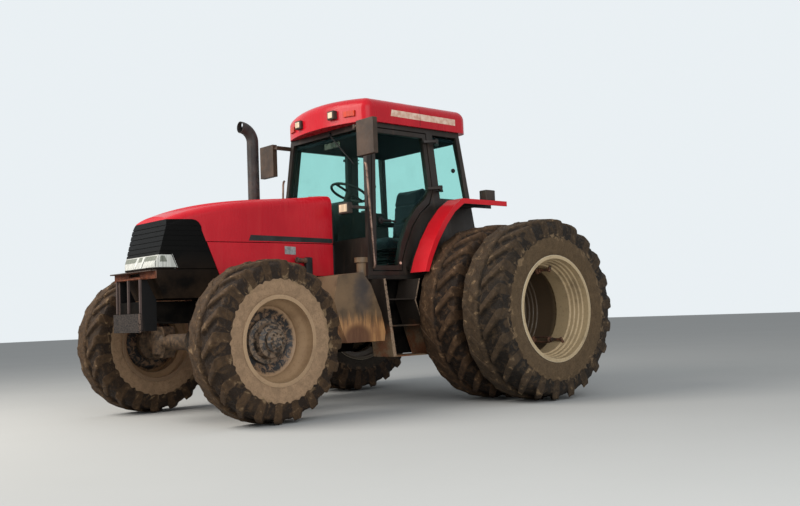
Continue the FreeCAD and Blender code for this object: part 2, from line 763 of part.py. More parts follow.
def hood_solid(name, skin):
    """The hood's form with its front cut to the nose's slope and rounded in plan."""
    form = doc.addObject("Part::Feature", name)
    form.Shape = hood_form(size(skin))
    front = "hood_front - (%s)" % skin
    side_trim = prism(name + "_side", "XZ_Plane", (
        ("hood_rear - 100", "nose_base - 60"), ("hood_rear - 100", "2400"),
        (front + " - 150", "2400"), (front + " - 150", "1800"), (front + " - 58", "1466"),
        (front, "nose_split"), (front, "nose_split - 25"),
        (front + " - 126", "nose_base - 60")), "1200")
    plan_trim = prism(name + "_plan", "XY_Plane", (
        ("hood_rear - 100", "-550"), (front + " - 90", "-550"), (front + " - 90", "-318"),
        ("arc", (front + " - 40", "-298"), (front + " - 16", "-258")),
        ("arc", (front, "0"), (front + " - 16", "258")),
        ("arc", (front + " - 40", "298"), (front + " - 90", "318")),
        (front + " - 90", "550"), ("hood_rear - 100", "550")), "5000")
    return shared(name + "_cut", shared(name + "_sloped", form, side_trim), plan_trim)


hood_outside = hood_solid("hood_outer", "0")
skin_form = without("hood_skin_form", hood_outside, hood_solid("hood_inner", "hood_skin"))
lamp_skin = without("lamp_skin_form", hood_outside, hood_solid("lamp_inner", "34"))

# The black nose reaches back to a slanted edge below the red hood
def nose_edge(height, grow="0"):
    """X of the nose's slanted rear edge at a height, moved back by a gap."""
    return "2685 - (%s) + (%s - 1277) * 0.39" % (grow, height)


def nose_side(name, grow, low):
    """The nose seen from the side up to the red hood's edge, moved out by a gap."""
    return prism(name, "XZ_Plane", (
        ("hood_front + 80", low), (nose_edge(low, grow), low),
        (nose_edge("hood_seam + 95", grow), "hood_seam + 95"),
        ("2842 - (%s)" % grow, "hood_seam + 132"),
        ("2864 - (%s) * 0.7" % grow, "hood_seam + 166 + (%s) * 0.7" % grow),
        ("2894 - (%s) * 0.4" % grow, "hood_seam + 187 + (%s)" % grow),
        ("2930", "hood_seam + 193 + (%s)" % grow),
        ("hood_front + 80", "hood_seam + 187 + (%s)" % grow)), "1200")


nose_cutter = nose_side("nose_cutter", "seat_gap", "nose_base - 60")
panel_cutter = nose_side("panel_cutter", "panel_gap", "nose_base - 60")
upper_nose = nose_side("upper_nose", "0", "nose_split")
SPLIT = "(nose_split - panel_gap)"
lower_nose = prism("lower_nose", "XZ_Plane", (
    ("hood_front + 80", "nose_base"), (nose_edge("nose_base"), "nose_base"),
    (nose_edge(SPLIT), SPLIT), ("hood_front + 80", SPLIT)), "1200")
upper_hood = prism("upper_hood", "XZ_Plane", (
    ("hood_rear", "hood_seam"), ("hood_rear", "2400"), ("hood_front + 80", "2400"),
    ("hood_front + 80", "hood_seam")), "1200")
lower_panel = prism("lower_panel", "XZ_Plane", (
    ("hood_rear", "panel_base"), ("hood_rear", "hood_seam - panel_gap"),
    ("hood_front", "hood_seam - panel_gap"), ("hood_front", "panel_base")), "1200")
LAMP = (
    ("hood_front + 80", "lamp_base"), ("3078", "lamp_base"), ("3122", "lamp_top"),
    ("hood_front + 80", "lamp_top"))
lamp_prism = prism("lamp_prism", "XZ_Plane", LAMP, "1200")

hood_ear = without("hood_ear_bored", prism("hood_ear", "XZ_Plane", (
    ("hood_hinge_x - 24", "hood_hinge_height - 22"), ("hood_hinge_x + 24", "hood_hinge_height - 22"),
    ("hood_hinge_x + 40", "hood_top_rear - 24"), ("hood_hinge_x - 24", "hood_top_rear - 20")),
    "10", "-175"), rod("ear_hole", "y", ("hood_hinge_x", "150", "hood_hinge_height"),
                       "hood_pin_radius + seat_gap", "50"))
hood_shell = without("hood_red", shared("hood_upper", skin_form, upper_hood), nose_cutter)
publish(joined("hood_shell_whole", [hood_shell, hood_ear, mirrored("hood_ear_right", hood_ear)]),
        "hood_shell")
# Radiator, whose surround carries the side panels and the lower nose. Behind the engine a
# bulkhead carries the panels' rear ends and the hood's hinge pins.
hood_lining = hood_solid("hood_lining", "hood_skin + seat_gap")
FRAME_TOP = "1056"
surround = shared("radiator_surround", hood_lining, prism("surround_plate", "YZ_Plane", (
    ("-190", FRAME_TOP), ("190", FRAME_TOP), ("190", "nose_base"), ("hood_half_rear", "nose_base"),
    ("hood_half_rear", "hood_seam - panel_gap"), ("-hood_half_rear", "hood_seam - panel_gap"),
    ("-hood_half_rear", "nose_base"), ("-190", "nose_base")), "12", "engine_front + 166"))
publish(joined("radiator_whole", [surround, block(
    "radiator_core", ("engine_front + 140", "-270", "1090"), ("engine_front + 240", "270", "1690"))]),
    "radiator")
low_bulkhead = shared("low_bulkhead", hood_lining, prism("low_bulkhead_plate", "YZ_Plane", (
    ("-gearbox_width / 2", GEARBOX_TOP), ("gearbox_width / 2", GEARBOX_TOP),
    ("gearbox_width / 2", "panel_base"), ("hood_half_rear", "panel_base"),
    ("hood_half_rear", "hood_seam - panel_gap"), ("-hood_half_rear", "hood_seam - panel_gap"),
    ("-hood_half_rear", "panel_base"), ("-gearbox_width / 2", "panel_base")),
    "bulkhead_thick", "hood_rear + bulkhead_thick"))
HIGH_HALF = "(hood_half_rear - hood_skin - 8)"
high_bulkhead = prism("high_bulkhead", "YZ_Plane", (
    ("-" + HIGH_HALF, "hood_seam - panel_gap - 1"), (HIGH_HALF, "hood_seam - panel_gap - 1"),
    (HIGH_HALF, "hood_hinge_height - 55"), (HIGH_HALF + " - 30", "hood_hinge_height - 14"),
    ("30 - " + HIGH_HALF, "hood_hinge_height - 14"), ("-" + HIGH_HALF, "hood_hinge_height - 55")),
    "bulkhead_thick", "hood_rear + bulkhead_thick")
PIN_EAR_Y = "150"
EAR_BASE = "(hood_hinge_height - 95)"
pin_ear = prism("pin_ear", "XZ_Plane", (
    ("hood_rear + bulkhead_thick", EAR_BASE), ("hood_hinge_x + 40", EAR_BASE),
    ("hood_hinge_x + 24", "hood_hinge_height + 20"),
    ("hood_rear + bulkhead_thick", "hood_hinge_height + 20")), "12", "-" + PIN_EAR_Y)
hood_pin = rod("hood_pin", "y", ("hood_hinge_x", PIN_EAR_Y, "hood_hinge_height"), "hood_pin_radius",
               "40")
half_hinge = joined("half_hood_hinge", [pin_ear, hood_pin])
publish(joined("bulkhead_whole", [low_bulkhead, high_bulkhead, half_hinge,
                                  mirrored("half_hood_hinge_right", half_hinge)]), "bulkhead")
# Shallow grooves run round the nose at one pitch, and the lowest two stop at the lamps
groove_skin = without("groove_skin", hood_outside, hood_solid("groove_floor", "groove_depth"))
groove_slabs = joined("groove_slabs", [prism("groove_slab", "XZ_Plane", (
    ("2700", "hood_seam - 4 + %d * groove_pitch" % step), ("2700", "hood_seam + 4 + %d * groove_pitch" % step),
    ("hood_front + 80", "hood_seam + 4 + %d * groove_pitch" % step),
    ("hood_front + 80", "hood_seam - 4 + %d * groove_pitch" % step)), "1200") for step in range(-2, 4)])
nose = without("nose_grooved", without("nose_whole", shared("nose_skin", skin_form, upper_nose),
                                       lamp_prism), shared("nose_grooves", groove_skin, groove_slabs))
publish(nose, "nose_grille")
publish(shared("lamps_whole", lamp_skin, lamp_prism), "headlamps")
publish(shared("nose_lower_whole", skin_form, lower_nose), "nose_lower")
exhaust_notch = block("exhaust_notch", ("exhaust_x - 75", "-hood_half_rear - 50", "panel_base - 20"),
                      ("exhaust_x + 75", "-hood_half_front", "exhaust_base + 75"))
panel_set = without("panel_set", shared("panels_skin", skin_form, lower_panel), panel_cutter)
publish(without("panels_whole", panel_set, exhaust_notch), "side_panels")

# Cab: one tapered wall, from which the frame, doors and panes are parted
def taper(name, inset):
    """Tapered block of the cab, its four sides moved in by the inset."""
    wedge = doc.addObject("Part::Wedge", name)
    wedge.Placement = Placement(Vector(), Rotation(Vector(1, 0, 0), 90))
    for key, text in (("Ymin", "cab_floor_height"), ("Ymax", "cab_roof_height"),
                      ("Xmin", "-cab_rear_base + " + inset), ("Xmax", "cab_front_base - " + inset),
                      ("X2min", "-cab_rear_top + " + inset), ("X2max", "cab_front_top - " + inset),
                      ("Zmin", "-cab_half_base + " + inset), ("Zmax", "cab_half_base - " + inset),
                      ("Z2min", "-cab_half_top + " + inset), ("Z2max", "cab_half_top - " + inset)):
        wedge.setExpression(key, bound(text))
    return wedge


def side_face(height):
    """Y of the cab's outer side at a height."""
    return ("(cab_half_base - ((%s) - cab_floor_height) * (cab_half_base - cab_half_top)"
            " / (cab_roof_height - cab_floor_height))" % height)


def front_face(height):
    """X of the cab's front at a height."""
    return ("(cab_front_base - ((%s) - cab_floor_height) * (cab_front_base - cab_front_top)"
            " / (cab_roof_height - cab_floor_height))" % height)


def rear_face(height):
    """X of the cab's rear at a height."""
    return ("(-cab_rear_base + ((%s) - cab_floor_height) * (cab_rear_base - cab_rear_top)"
            " / (cab_roof_height - cab_floor_height))" % height)


def fender_rise(share):
    """Height at a share of the way from the cab's floor to the fender's top."""
    return "(cab_floor_height + %s * (fender_top - cab_floor_height))" % share


def grown(outline, gap):
    """Outline whose corners are each moved out by a gap: (x, z, x sign, z sign)."""
    return tuple(("%s + %d * (%s)" % (x, dx, gap), "%s + %d * (%s)" % (z, dz, gap))
                 for x, z, dx, dz in outline)


# Corners with the directions in which each moves out
DOOR = (
    ("cab_front_base - 72", "cab_floor_height + 50", 1, -1),
    ("cab_front_top - 58", "cab_roof_height - 58", 1, 1),
    ("362", "cab_roof_height - 58", -1, 1),
    ("338", "fender_top + 108", -1, 0),
    ("400", "fender_top - 22", -1, -1),
    ("545", fender_rise(0.8294), -1, -1),
    ("665", fender_rise(0.6496), -1, -1),
    ("780", fender_rise(0.3806), -1, -1),
    ("845", fender_rise(0.1837), -1, 0),
    ("855", "cab_floor_height + 50", -1, -1),
)
QUARTER = (
    ("262", "cab_roof_height - 58", 1, 1),
    ("-84", "cab_roof_height - 58", -1, 1),
    ("-150", "fender_top + 40", -1, -1),
    ("235", "fender_top + 40", 1, -1),
)
outer = taper("cab_outer", "0")
inner = taper("cab_inner", "cab_wall")
wall = without("cab_shell", outer, inner)
pane = without("pane_shell", taper("pane_outer", "(cab_wall - glass_thick) / 2"),
               taper("pane_inner", "(cab_wall + glass_thick) / 2"))
FAR = "2 * cab_half_base + 200"
DASH_TOP = "(cab_floor_height + 370)"
openings = [
    prism("door_hole", "XZ_Plane", grown(DOOR, "door_gap"), FAR),
    prism("quarter_hole", "XZ_Plane", grown(QUARTER, "0"), FAR),
    prism("front_hole", "YZ_Plane", (
        ("-cab_half_base + 62", DASH_TOP), ("cab_half_base - 62", DASH_TOP),
        ("cab_half_top - 56", "cab_roof_height - 58"),
        ("-cab_half_top + 56", "cab_roof_height - 58")), "800", "cab_front_base"),
    prism("rear_hole", "YZ_Plane", (
        ("-cab_half_base + 74", "cab_floor_height + 510"),
        ("cab_half_base - 74", "cab_floor_height + 510"),
        ("cab_half_top - 58", "cab_roof_height - 58"),
        ("-cab_half_top + 58", "cab_roof_height - 58")), "600", "-cab_rear_base"),
]
left_half = block("left_half", ("-600", "cab_half_top - 200", "1000"),
                  ("1500", "cab_half_base + 200", "3000"))
door_solid = shared("door_left_solid", shared("door_wall", wall, prism(
    "door_plug", "XZ_Plane", grown(DOOR, "0"), FAR)), left_half)
WINDOW = "-46"
door_window = prism("door_window", "XZ_Plane", grown(DOOR, WINDOW), FAR)
# Each hinge is drawn about its pin, which leans with the cab's side
LEAN = math.degrees(math.atan((size("cab_half_base") - size("cab_half_top"))
                              / (size("cab_roof_height") - size("cab_floor_height"))))
HINGE_HEIGHTS = ("2150", "2640")


def hinge_seat(thing, height):
    """Stand a hinge piece on its pin's line at a height."""
    thing.Placement = Placement(Vector(), Rotation(Vector(1, 0, 0), LEAN))
    thing.setExpression("Placement.Base.x", bound("hinge_x"))
    thing.setExpression("Placement.Base.y", bound(side_face(height) + " + hinge_offset"))
    thing.setExpression("Placement.Base.z", bound(height))
    return thing


def hinge_bar(name, reach, foot, low, high):
    """Flat hinge bar from the pin to a foot on the panel."""
    return prism(name, "XY_Plane", (
        (reach, "-hinge_offset - 3"), (foot, "-hinge_offset - 3"), (foot, "-hinge_offset + 22"),
        ("hinge_eye * %s" % ("1" if float(foot) > 0 else "-1"), "hinge_eye"),
        ("-hinge_eye * %s" % ("1" if float(foot) > 0 else "-1"), "hinge_eye"),
        ("-hinge_eye * %s" % ("1" if float(foot) > 0 else "-1"), "-hinge_eye"),
        (reach, "-hinge_offset + 14")), "(%s) - (%s)" % (high, low),
        "((%s) + (%s)) / 2" % (high, low))


leaves = []
lugs = []
for height in HINGE_HEIGHTS:
    leaf = without("hinge_leaf", hinge_bar("leaf_bar", "84", "128", "-13", "13"),
                   rod("leaf_hole", "z", ("0", "0", "-20"), "hinge_pin_radius + seat_gap", "40"))
    lug = joined("hinge_lug", [
        hinge_bar("lug_low", "-30", "-86", "-25", "-13 - seat_gap"),
        hinge_bar("lug_high", "-30", "-86", "13 + seat_gap", "25"),
        rod("hinge_pin", "z", ("0", "0", "-25"), "hinge_pin_radius", "50")])
    leaves.append(hinge_seat(leaf, height))
    lugs.append(hinge_seat(lug, height))
door_base = joined("door_base", [without("door_ring", door_solid, door_window)] + leaves)
door_pane = shared("door_pane_left", shared("door_pane", pane, door_window), left_half)
publish(together("door_left_whole", [door_base]), "door_left")
publish(together("door_right_whole", [mirrored("door_mirror", door_base)]), "door_right")
publish(together("pane_left_whole", [door_pane]), "door_glass_left")
publish(together("pane_right_whole", [mirrored("pane_mirror", door_pane)]), "door_glass_right")
# The rear window's hinges stand on the header above it
AXIS_X = "(" + rear_face("window_hinge_height") + " - 22)"
window_leaves = []
window_lugs = []
for place in ("-300", "300"):
    bar = prism("window_leaf_bar", "XZ_Plane", (
        (AXIS_X + " - 12", "window_hinge_height + 12"), (AXIS_X + " - 12", "window_hinge_height - 66"),
        (rear_face("window_hinge_height - 60") + " + cab_wall / 2", "window_hinge_height - 66"),
        (rear_face("window_hinge_height - 60") + " + cab_wall / 2", "window_hinge_height - 54"),
        (AXIS_X + " + 2", "window_hinge_height - 54"), (AXIS_X + " + 12", "window_hinge_height + 12")),
        "40", "-(%s)" % place)
    window_leaves.append(without("window_leaf", bar, rod(
        "window_leaf_hole", "y", (AXIS_X, place + " - 30", "window_hinge_height"),
        "window_pin_radius + seat_gap", "60")))
    for step in ("-30 - seat_gap", "30 + seat_gap"):
        window_lugs.append(prism("window_lug", "XZ_Plane", (
            (AXIS_X + " - 10", "window_hinge_height - 10"),
            (rear_face("window_hinge_height") + " + 10", "window_hinge_height - 16"),
            (rear_face("window_hinge_height") + " + 10", "window_hinge_height + 12"),
            (AXIS_X + " - 10", "window_hinge_height + 10")), "20", "-(%s + %s)" % (place, step)))
    window_lugs.append(rod("window_pin", "y", (AXIS_X, place + " - 38", "window_hinge_height"),
                           "window_pin_radius", "76"))
lug_set = joined("lug_set", lugs)
cab_frame = joined("cab_frame_whole", [without("cab_frame_wall", wall, joined("cab_openings", openings)),
                                       lug_set, mirrored("lug_set_right", lug_set)] + window_lugs)
publish(cab_frame, "cab_frame")

quarter_pane = shared("quarter_pane_left", shared("quarter_pane", pane, openings[1]), left_half)
publish(pair("quarter_panes", quarter_pane), "quarter_glass")
publish(shared("windscreen_pane", pane, openings[2]), "windscreen")
rear_plug = prism("rear_plug", "YZ_Plane", (
    ("-cab_half_base + 82", "cab_floor_height + 518"),
    ("cab_half_base - 82", "cab_floor_height + 518"),
    ("cab_half_top - 66", "cab_roof_height - 66"),
    ("-cab_half_top + 66", "cab_roof_height - 66")), "600", "-cab_rear_base")
rear_glass = shared("rear_glass", pane, rear_plug)
publish(joined("rear_window_whole", [rear_glass] + window_leaves), "rear_window")

# Floor pan under the cab on its four mounts, with the mat inside the walls
mounts = [block("front_mount", ("1005", "100", MOUNT_SEAT + " + seat_gap"),
                ("1095", "190", "cab_floor_height - floor_depth + 1")),
          block("rear_mount", ("-50", "cab_mount_y - 45", PAD_TOP + " + seat_gap"),
                ("50", "cab_mount_y + 45", "cab_floor_height - floor_depth + 1"))]
mount_set = joined("mount_set", mounts)
MAT_INSET = "(cab_wall + 12)"
publish(joined("floor_whole", [
    block("floor_pan", ("-cab_rear_base", "-cab_half_base", "cab_floor_height - floor_depth"),
          ("cab_front_base", "cab_half_base", "cab_floor_height - seat_gap")),
    block("floor_mat", ("-cab_rear_base + " + MAT_INSET, "-cab_half_base + " + MAT_INSET,
                        "cab_floor_height - floor_depth / 2"),
          ("cab_front_base - " + MAT_INSET, "cab_half_base - " + MAT_INSET,
           "cab_floor_height + mat_rise")),
    mount_set, mirrored("mount_set_right", mount_set)]), "cab_floor")

# Roof with a bowed front edge, crowned across and rounded all round its top


def roof_shape():
    base, tall = size("cab_roof_height + seat_gap"), size("roof_height")
    front, rear = size("cab_front_top + 40"), -size("cab_rear_top + 125")
    half, corner = size("cab_half_top + roof_overhang"), size("roof_corner")
    bow = size("roof_bow")
    spine = (bow ** 2 + (half - corner) ** 2) / (2 * bow)
    bow_centre = front + bow - spine - corner
    reach = (spine + corner) / spine
    meet_x = bow_centre + (front - corner - bow_centre) * reach
    meet_y = (half - corner) * reach
    turn = math.atan2(half - corner, front - corner - bow_centre)
    middle = (turn + math.pi / 2) / 2
    slant = corner * math.sqrt(0.5)

    def at(x, y):
        return Vector(x, y, base)

    front_corner = (front - corner + corner * math.cos(middle),
                    half - corner + corner * math.sin(middle))
    wire = Part.Wire([
        Part.LineSegment(at(rear, half - corner), at(rear, corner - half)).toShape(),
        Part.Arc(at(rear, corner - half), at(rear + corner - slant, corner - half - slant),
                 at(rear + corner, -half)).toShape(),
        Part.LineSegment(at(rear + corner, -half), at(front - corner, -half)).toShape(),
        Part.Arc(at(front - corner, -half), at(front_corner[0], -front_corner[1]),
                 at(meet_x, -meet_y)).toShape(),
        Part.Arc(at(meet_x, -meet_y), at(front + bow, 0), at(meet_x, meet_y)).toShape(),
        Part.Arc(at(meet_x, meet_y), at(*front_corner), at(front - corner, half)).toShape(),
        Part.LineSegment(at(front - corner, half), at(rear + corner, half)).toShape(),
        Part.Arc(at(rear + corner, half), at(rear + corner - slant, half - corner + slant),
                 at(rear, half - corner)).toShape()])
    plain = Part.Face(wire).extrude(Vector(0, 0, tall + 50))
    crown = size("roof_crown")
    barrel = Part.makeCylinder(crown, 4000, Vector(rear - 500, 0, base + tall - crown),
                               Vector(1, 0, 0))
    crowned = plain.common(barrel)
    top_edges = [edge for edge in crowned.Edges if edge.BoundBox.ZMin > base + 0.5 * tall
                 and edge.BoundBox.ZMax - edge.BoundBox.ZMin < 0.4 * tall]
    return crowned.makeFillet(size("roof_edge"), top_edges)


roof_form = doc.addObject("Part::Feature", "roof_form")
roof_form.Shape = roof_shape()
publish(together("roof_whole", [roof_form]), "cab_roof")

# Fenders: the top plate and its front sweep, with a lip along the outer edge
FENDER_FRONT = (
    ("-fender_rear", "fender_top"), ("260", "fender_top"),
    ("400", "fender_top - 92"), ("545", fender_rise(0.6798)), ("668", fender_rise(0.4462)),
    ("758", fender_rise(0.2231)), ("815", "cab_floor_height + 20"))
outside = FENDER_FRONT + (
    ("815 - fender_skin", "cab_floor_height + 20"),
    ("758 - fender_skin", fender_rise(0.2231) + " - 4"),
    ("668 - fender_skin", fender_rise(0.4462) + " - 6"),
    ("545 - fender_skin", fender_rise(0.6798) + " - 8"),
    ("400 - 8", "fender_top - 92 - fender_skin"),
    ("256", "fender_top - fender_skin"), ("-fender_rear", "fender_top - fender_skin"))
lip = FENDER_FRONT + (
    ("815 - fender_lip", "cab_floor_height + 20"),
    ("758 - fender_lip", fender_rise(0.2231) + " - 16"),
    ("668 - fender_lip", fender_rise(0.4462) + " - 22"),
    ("545 - fender_lip", fender_rise(0.6798) + " - 30"),
    ("400 - 24", "fender_top - 92 - fender_lip"),
    ("240", "fender_top - fender_lip"), ("-fender_rear", "fender_top - fender_lip"))
plate = prism("fender_plate", "XZ_Plane", outside, "fender_outer - fender_inner",
              "-(fender_outer + fender_inner) / 2")
edge = prism("fender_edge", "XZ_Plane", lip, "fender_skin", "-fender_outer + fender_skin / 2")
inner_web = prism("fender_web", "XZ_Plane", lip, "fender_skin",
                  "-fender_inner - fender_skin / 2")
brackets = [
    block("high_bracket", ("-150", side_face("fender_top - fender_lip") + " + seat_gap",
                           "fender_top - fender_lip"), ("150", "fender_inner + 6", "fender_top - 1")),
    block("low_bracket", (
        "774", side_face("cab_floor_height + 50") + " + seat_gap", "cab_floor_height + 50"),
        ("794", "fender_inner + 6", "cab_floor_height + 90"))]
publish(pair("fenders", joined("fender_whole", [plate, edge, inner_web] + brackets)), "fenders")

# Fuel tanks, the left one with its filler neck
TANK_SIDE = (
    ("1705", "625"), ("1766", "761"), ("1842", "1014"), ("1790", "1240"), ("1500", "1270"),
    ("1403", "1158"), ("1289", "894"), ("1244", "706"), ("1262", "625"))
tank = prism("tank", "XZ_Plane", TANK_SIDE, "tank_outer - tank_inner",
             "-(tank_outer + tank_inner) / 2")
tank_arms = [block("tank_arm", (x, "gearbox_width / 2 + seat_gap", "940"),
                   (x + " + 44", "tank_inner + 10", "1010")) for x in ("1320", "1430")]
tank = joined("tank_whole", [tank] + tank_arms)
neck = joined("filler", [rod("filler_neck", "z", ("1440", "tank_outer - 90", "1240"), "44", "130"),
                         rod("filler_cap", "z", ("1440", "tank_outer - 90", "1366"), "62", "46")])
publish(together("tanks", [joined("tank_with_filler", [tank, neck]), mirrored("tank_right", tank)]),
        "fuel_tanks")

# Steps between two slanted side plates
STEP_TOP = "(cab_floor_height - floor_depth - seat_gap)"
front_rail = prism("front_rail", "XZ_Plane", (
    ("1222", STEP_TOP), ("1250", STEP_TOP), ("1160", "470"), ("1120", "470")),
    "step_outer - step_inner", "-(step_outer + step_inner) / 2")
rear_rail = prism("rear_rail", "XZ_Plane", (
    ("781", STEP_TOP), ("793", STEP_TOP), ("858", "996"), ("661", "470"), ("640", "470"),
    ("846", "996")), "step_outer - step_inner", "-(step_outer + step_inner) / 2")
TREADS = (
    # height, rear end, front end
    (1018, 845, 1205),
    (766, 760, 1172),
    (478, 652, 1140),
)
treads = [block("tread", (str(first), "step_inner + 30", "%d - step_plate" % height),
                (str(last), "step_outer - 8", str(height))) for height, first, last in TREADS]
publish(pair("step_pair", joined("steps_whole", [front_rail, rear_rail] + treads)), "steps")

# Seat, dash and steering wheel
FOOT = "(cab_floor_height + mat_rise + seat_gap)"
SEAT_BASE = "(cab_floor_height + 310)"
SEAT_TOP = "(cab_floor_height + 440)"
BACK_TOP = "(cab_floor_height + 1020)"
seat_parts = [
    block("seat_post", ("200", "-150", FOOT), ("500", "150", SEAT_BASE + " + 10")),
    prism("seat_cushion", "XZ_Plane", (
        ("110", SEAT_BASE), ("110", SEAT_TOP), ("420", SEAT_TOP + " - 18"),
        ("540", SEAT_TOP + " - 8"), ("586", SEAT_TOP + " - 32"), ("600", SEAT_TOP + " - 70"),
        ("590", SEAT_BASE + " + 24"), ("540", SEAT_BASE)), "500"),
    prism("seat_back", "XZ_Plane", (
        ("140", SEAT_TOP + " - 20"), ("122", SEAT_TOP + " + 180"), ("88", SEAT_TOP + " + 400"),
        ("50", BACK_TOP + " - 50"), ("22", BACK_TOP + " - 6"), ("-24", BACK_TOP),
        ("-54", BACK_TOP + " - 40"), ("-58", BACK_TOP + " - 90"), ("-20", SEAT_TOP + " + 200"),
        ("20", SEAT_TOP + " - 20")), "480"),
]
for y in ("-230", "230"):
    seat_parts.append(block("arm_rest", ("50", y + " - 28", SEAT_TOP + " + 150"),
                            ("345", y + " + 28", SEAT_TOP + " + 205")))
seat_parts.append(rod("rest_bar", "y", ("60", "-230", SEAT_TOP + " + 178"), "16", "460"))
publish(joined("seat_whole", seat_parts), "seat")
dash = prism("dash", "XZ_Plane", (
    (front_face(FOOT) + " - cab_wall - seat_gap", FOOT),
    (front_face(DASH_TOP) + " - cab_wall - seat_gap", DASH_TOP),
    ("cab_front_top - 20", "cab_floor_height + 760"), ("1000", "cab_floor_height + 810"),
    ("960", "cab_floor_height + 710"), ("1040", "cab_floor_height + 450"), ("1080", FOOT)), "360")
# The steering column leans forward from the wheel's hub into the dash
column = doc.addObject("Part::Cylinder", "column")
column.Radius = 30
column.setExpression("Height", bound("column_length"))
column.Placement = Placement(Vector(), Rotation(Vector(0, 1, 0), 180 - size("wheel_tilt")))
for axis, text in zip("xyz", ("wheel_x + (60 + seat_gap) * sin(wheel_tilt * 1 deg)", "0",
                              "wheel_height - (60 + seat_gap) * cos(wheel_tilt * 1 deg)")):
    column.setExpression("Placement.Base." + axis, bound(text))
publish(joined("dash_whole", [dash, column]), "dashboard")
wheel_ring = doc.addObject("Part::Torus", "wheel_ring")
wheel_ring.Radius1 = 195
wheel_ring.Radius2 = 14
spokes = [block("spoke", ("-190", "-12", "-8"), ("190", "12", "8")),
          rod("wheel_hub", "z", ("0", "0", "-60"), "34", "74")]
steering_wheel = joined("steering_wheel_whole", [wheel_ring] + spokes)
publish(steering_wheel, "steering_wheel", x="wheel_x", z="wheel_height", tilt="-wheel_tilt")

# Exhaust stack with its forward elbow, fed by a pipe from the engine's side
STACK = "(exhaust_top - exhaust_base + exhaust_radius)"
stack = rod("stack", "z", ("0", "0", "-exhaust_radius"), "exhaust_radius", STACK)
elbow = doc.addObject("Part::Torus", "elbow")
elbow.setExpression("Radius1", bound("exhaust_bend"))
elbow.setExpression("Radius2", bound("exhaust_radius"))
elbow.Angle3 = 90
elbow.Placement = Placement(Vector(), Rotation(Vector(0, 0, 1), 180) * Rotation(Vector(1, 0, 0), 90))
elbow.setExpression("Placement.Base.x", bound("exhaust_bend"))
elbow.setExpression("Placement.Base.z", bound("exhaust_top - exhaust_base"))
mouth = rod("mouth", "x", ("exhaust_bend - 60", "0", "exhaust_top - exhaust_base + exhaust_bend"),
            "exhaust_radius - 4", "80")
outlet = rod("outlet", "y", ("0", "0", "0"), "exhaust_radius - 14",
             "exhaust_half - engine_width / 2 - seat_gap")
publish(joined("exhaust_whole", [stack, without("elbow_open", elbow, mouth), outlet]), "exhaust",
        x="exhaust_x", y="-exhaust_half", z="exhaust_base")

# Mirrors on arms from the front posts, roof lamps, post lamps and fender lamps
mirror = joined("mirror_whole", [
    block("mirror_case", ("1285", "715", "2400"), ("1340", "965", "2745")),
    rod("mirror_arm", "y", ("1312", "660", "2700"), "14", "80"),
    block("mirror_bracket", ("1090", side_face("2680") + " + seat_gap", "2680"),
          ("1330", side_face("2680") + " + 28", "2720")),
])
publish(pair("mirror_pair", mirror), "mirrors")
work_lamp = without("roof_lamp", block("roof_lamp_case", ("1150", "230", "2836"),
                                       ("1318", "330", "2926")), roof_form)
publish(pair("roof_lamp_pair", work_lamp), "roof_lamps")
post_lamp = joined("post_lamp_whole", [
    block("post_lamp", ("1400", "540", "1850"), ("1455", "690", "1955")),
    block("post_lamp_arm", (front_face("1895") + " + seat_gap", "675", "1895"),
          ("1410", "703", "1925")),
])
publish(pair("post_lamp_pair", post_lamp), "post_lamps")
fender_lamp = block("fender_lamp_case", ("-250", "930", "fender_top + seat_gap"),
                    ("-110", "1030", "fender_top + 112"))
publish(pair("fender_lamp_pair", fender_lamp), "fender_lamps")

# Rear linkage: lower links, lift arms on their cross shaft, lift rods and top link
SPLAY = "(link_end_half - link_pivot_half)"
link = prism("lower_link", "XY_Plane", (
    ("44", "link_pivot_half - link_thick / 2"), ("-200", "link_pivot_half - link_thick / 2"),
    ("-760", "link_end_half - link_thick / 2"),
    ("-rear_reach + link_pivot_x + 40", "link_end_half - link_thick / 2"),
    ("-rear_reach + link_pivot_x + 40", "link_end_half + link_thick / 2"),
    ("-760", "link_end_half + link_thick / 2"),
    ("-200", "link_pivot_half + link_thick / 2"), ("44", "link_pivot_half + link_thick / 2")),
    "link_depth")
end_x = "(-rear_reach + link_pivot_x + 45)"
link_end = without("link_eye", rod("link_ball", "y", (end_x, "link_end_half - 22", "0"), "45", "44"),
                   rod("link_hole", "y", (end_x, "link_end_half - 40", "0"), "ball_radius", "80"))
link_holes = joined("link_holes", [
    rod("link_way", "y", (end_x, "0", "0"), "44", "800"),
    rod("pin_way", "y", ("0", "0", "0"), "link_pin_radius + seat_gap", "800")])
link_bored = without("link_bored", link, link_holes)
link_whole = joined("link_whole", [link_bored, link_end])
publish(pair("links", link_whole), "lower_links", x="-link_pivot_x", z="link_pivot_height")

lift_arm = joined("lift_arm", [
    rod("lift_shaft", "y", ("0", "housing_half + seat_gap", "0"), "38", "62"),
    block("arm_bar", ("-arm_length - 24", "housing_half + 30", "-26"),
          ("0", "housing_half + 62", "26")),
    rod("arm_pin", "y", ("-arm_length", "housing_half + 50", "0"), "arm_pin_radius", "50"),
])
publish(pair("lift_arm_pair", lift_arm), "lift_arms", x="-arm_pivot_x", z="arm_pivot_height")
ROD_TOP = "(housing_half + 62 + 6)"
ROD_FOOT = "(link_pivot_half + 135 + link_thick / 2 + 16)"
DROP = "(arm_pivot_height - link_pivot_height)"
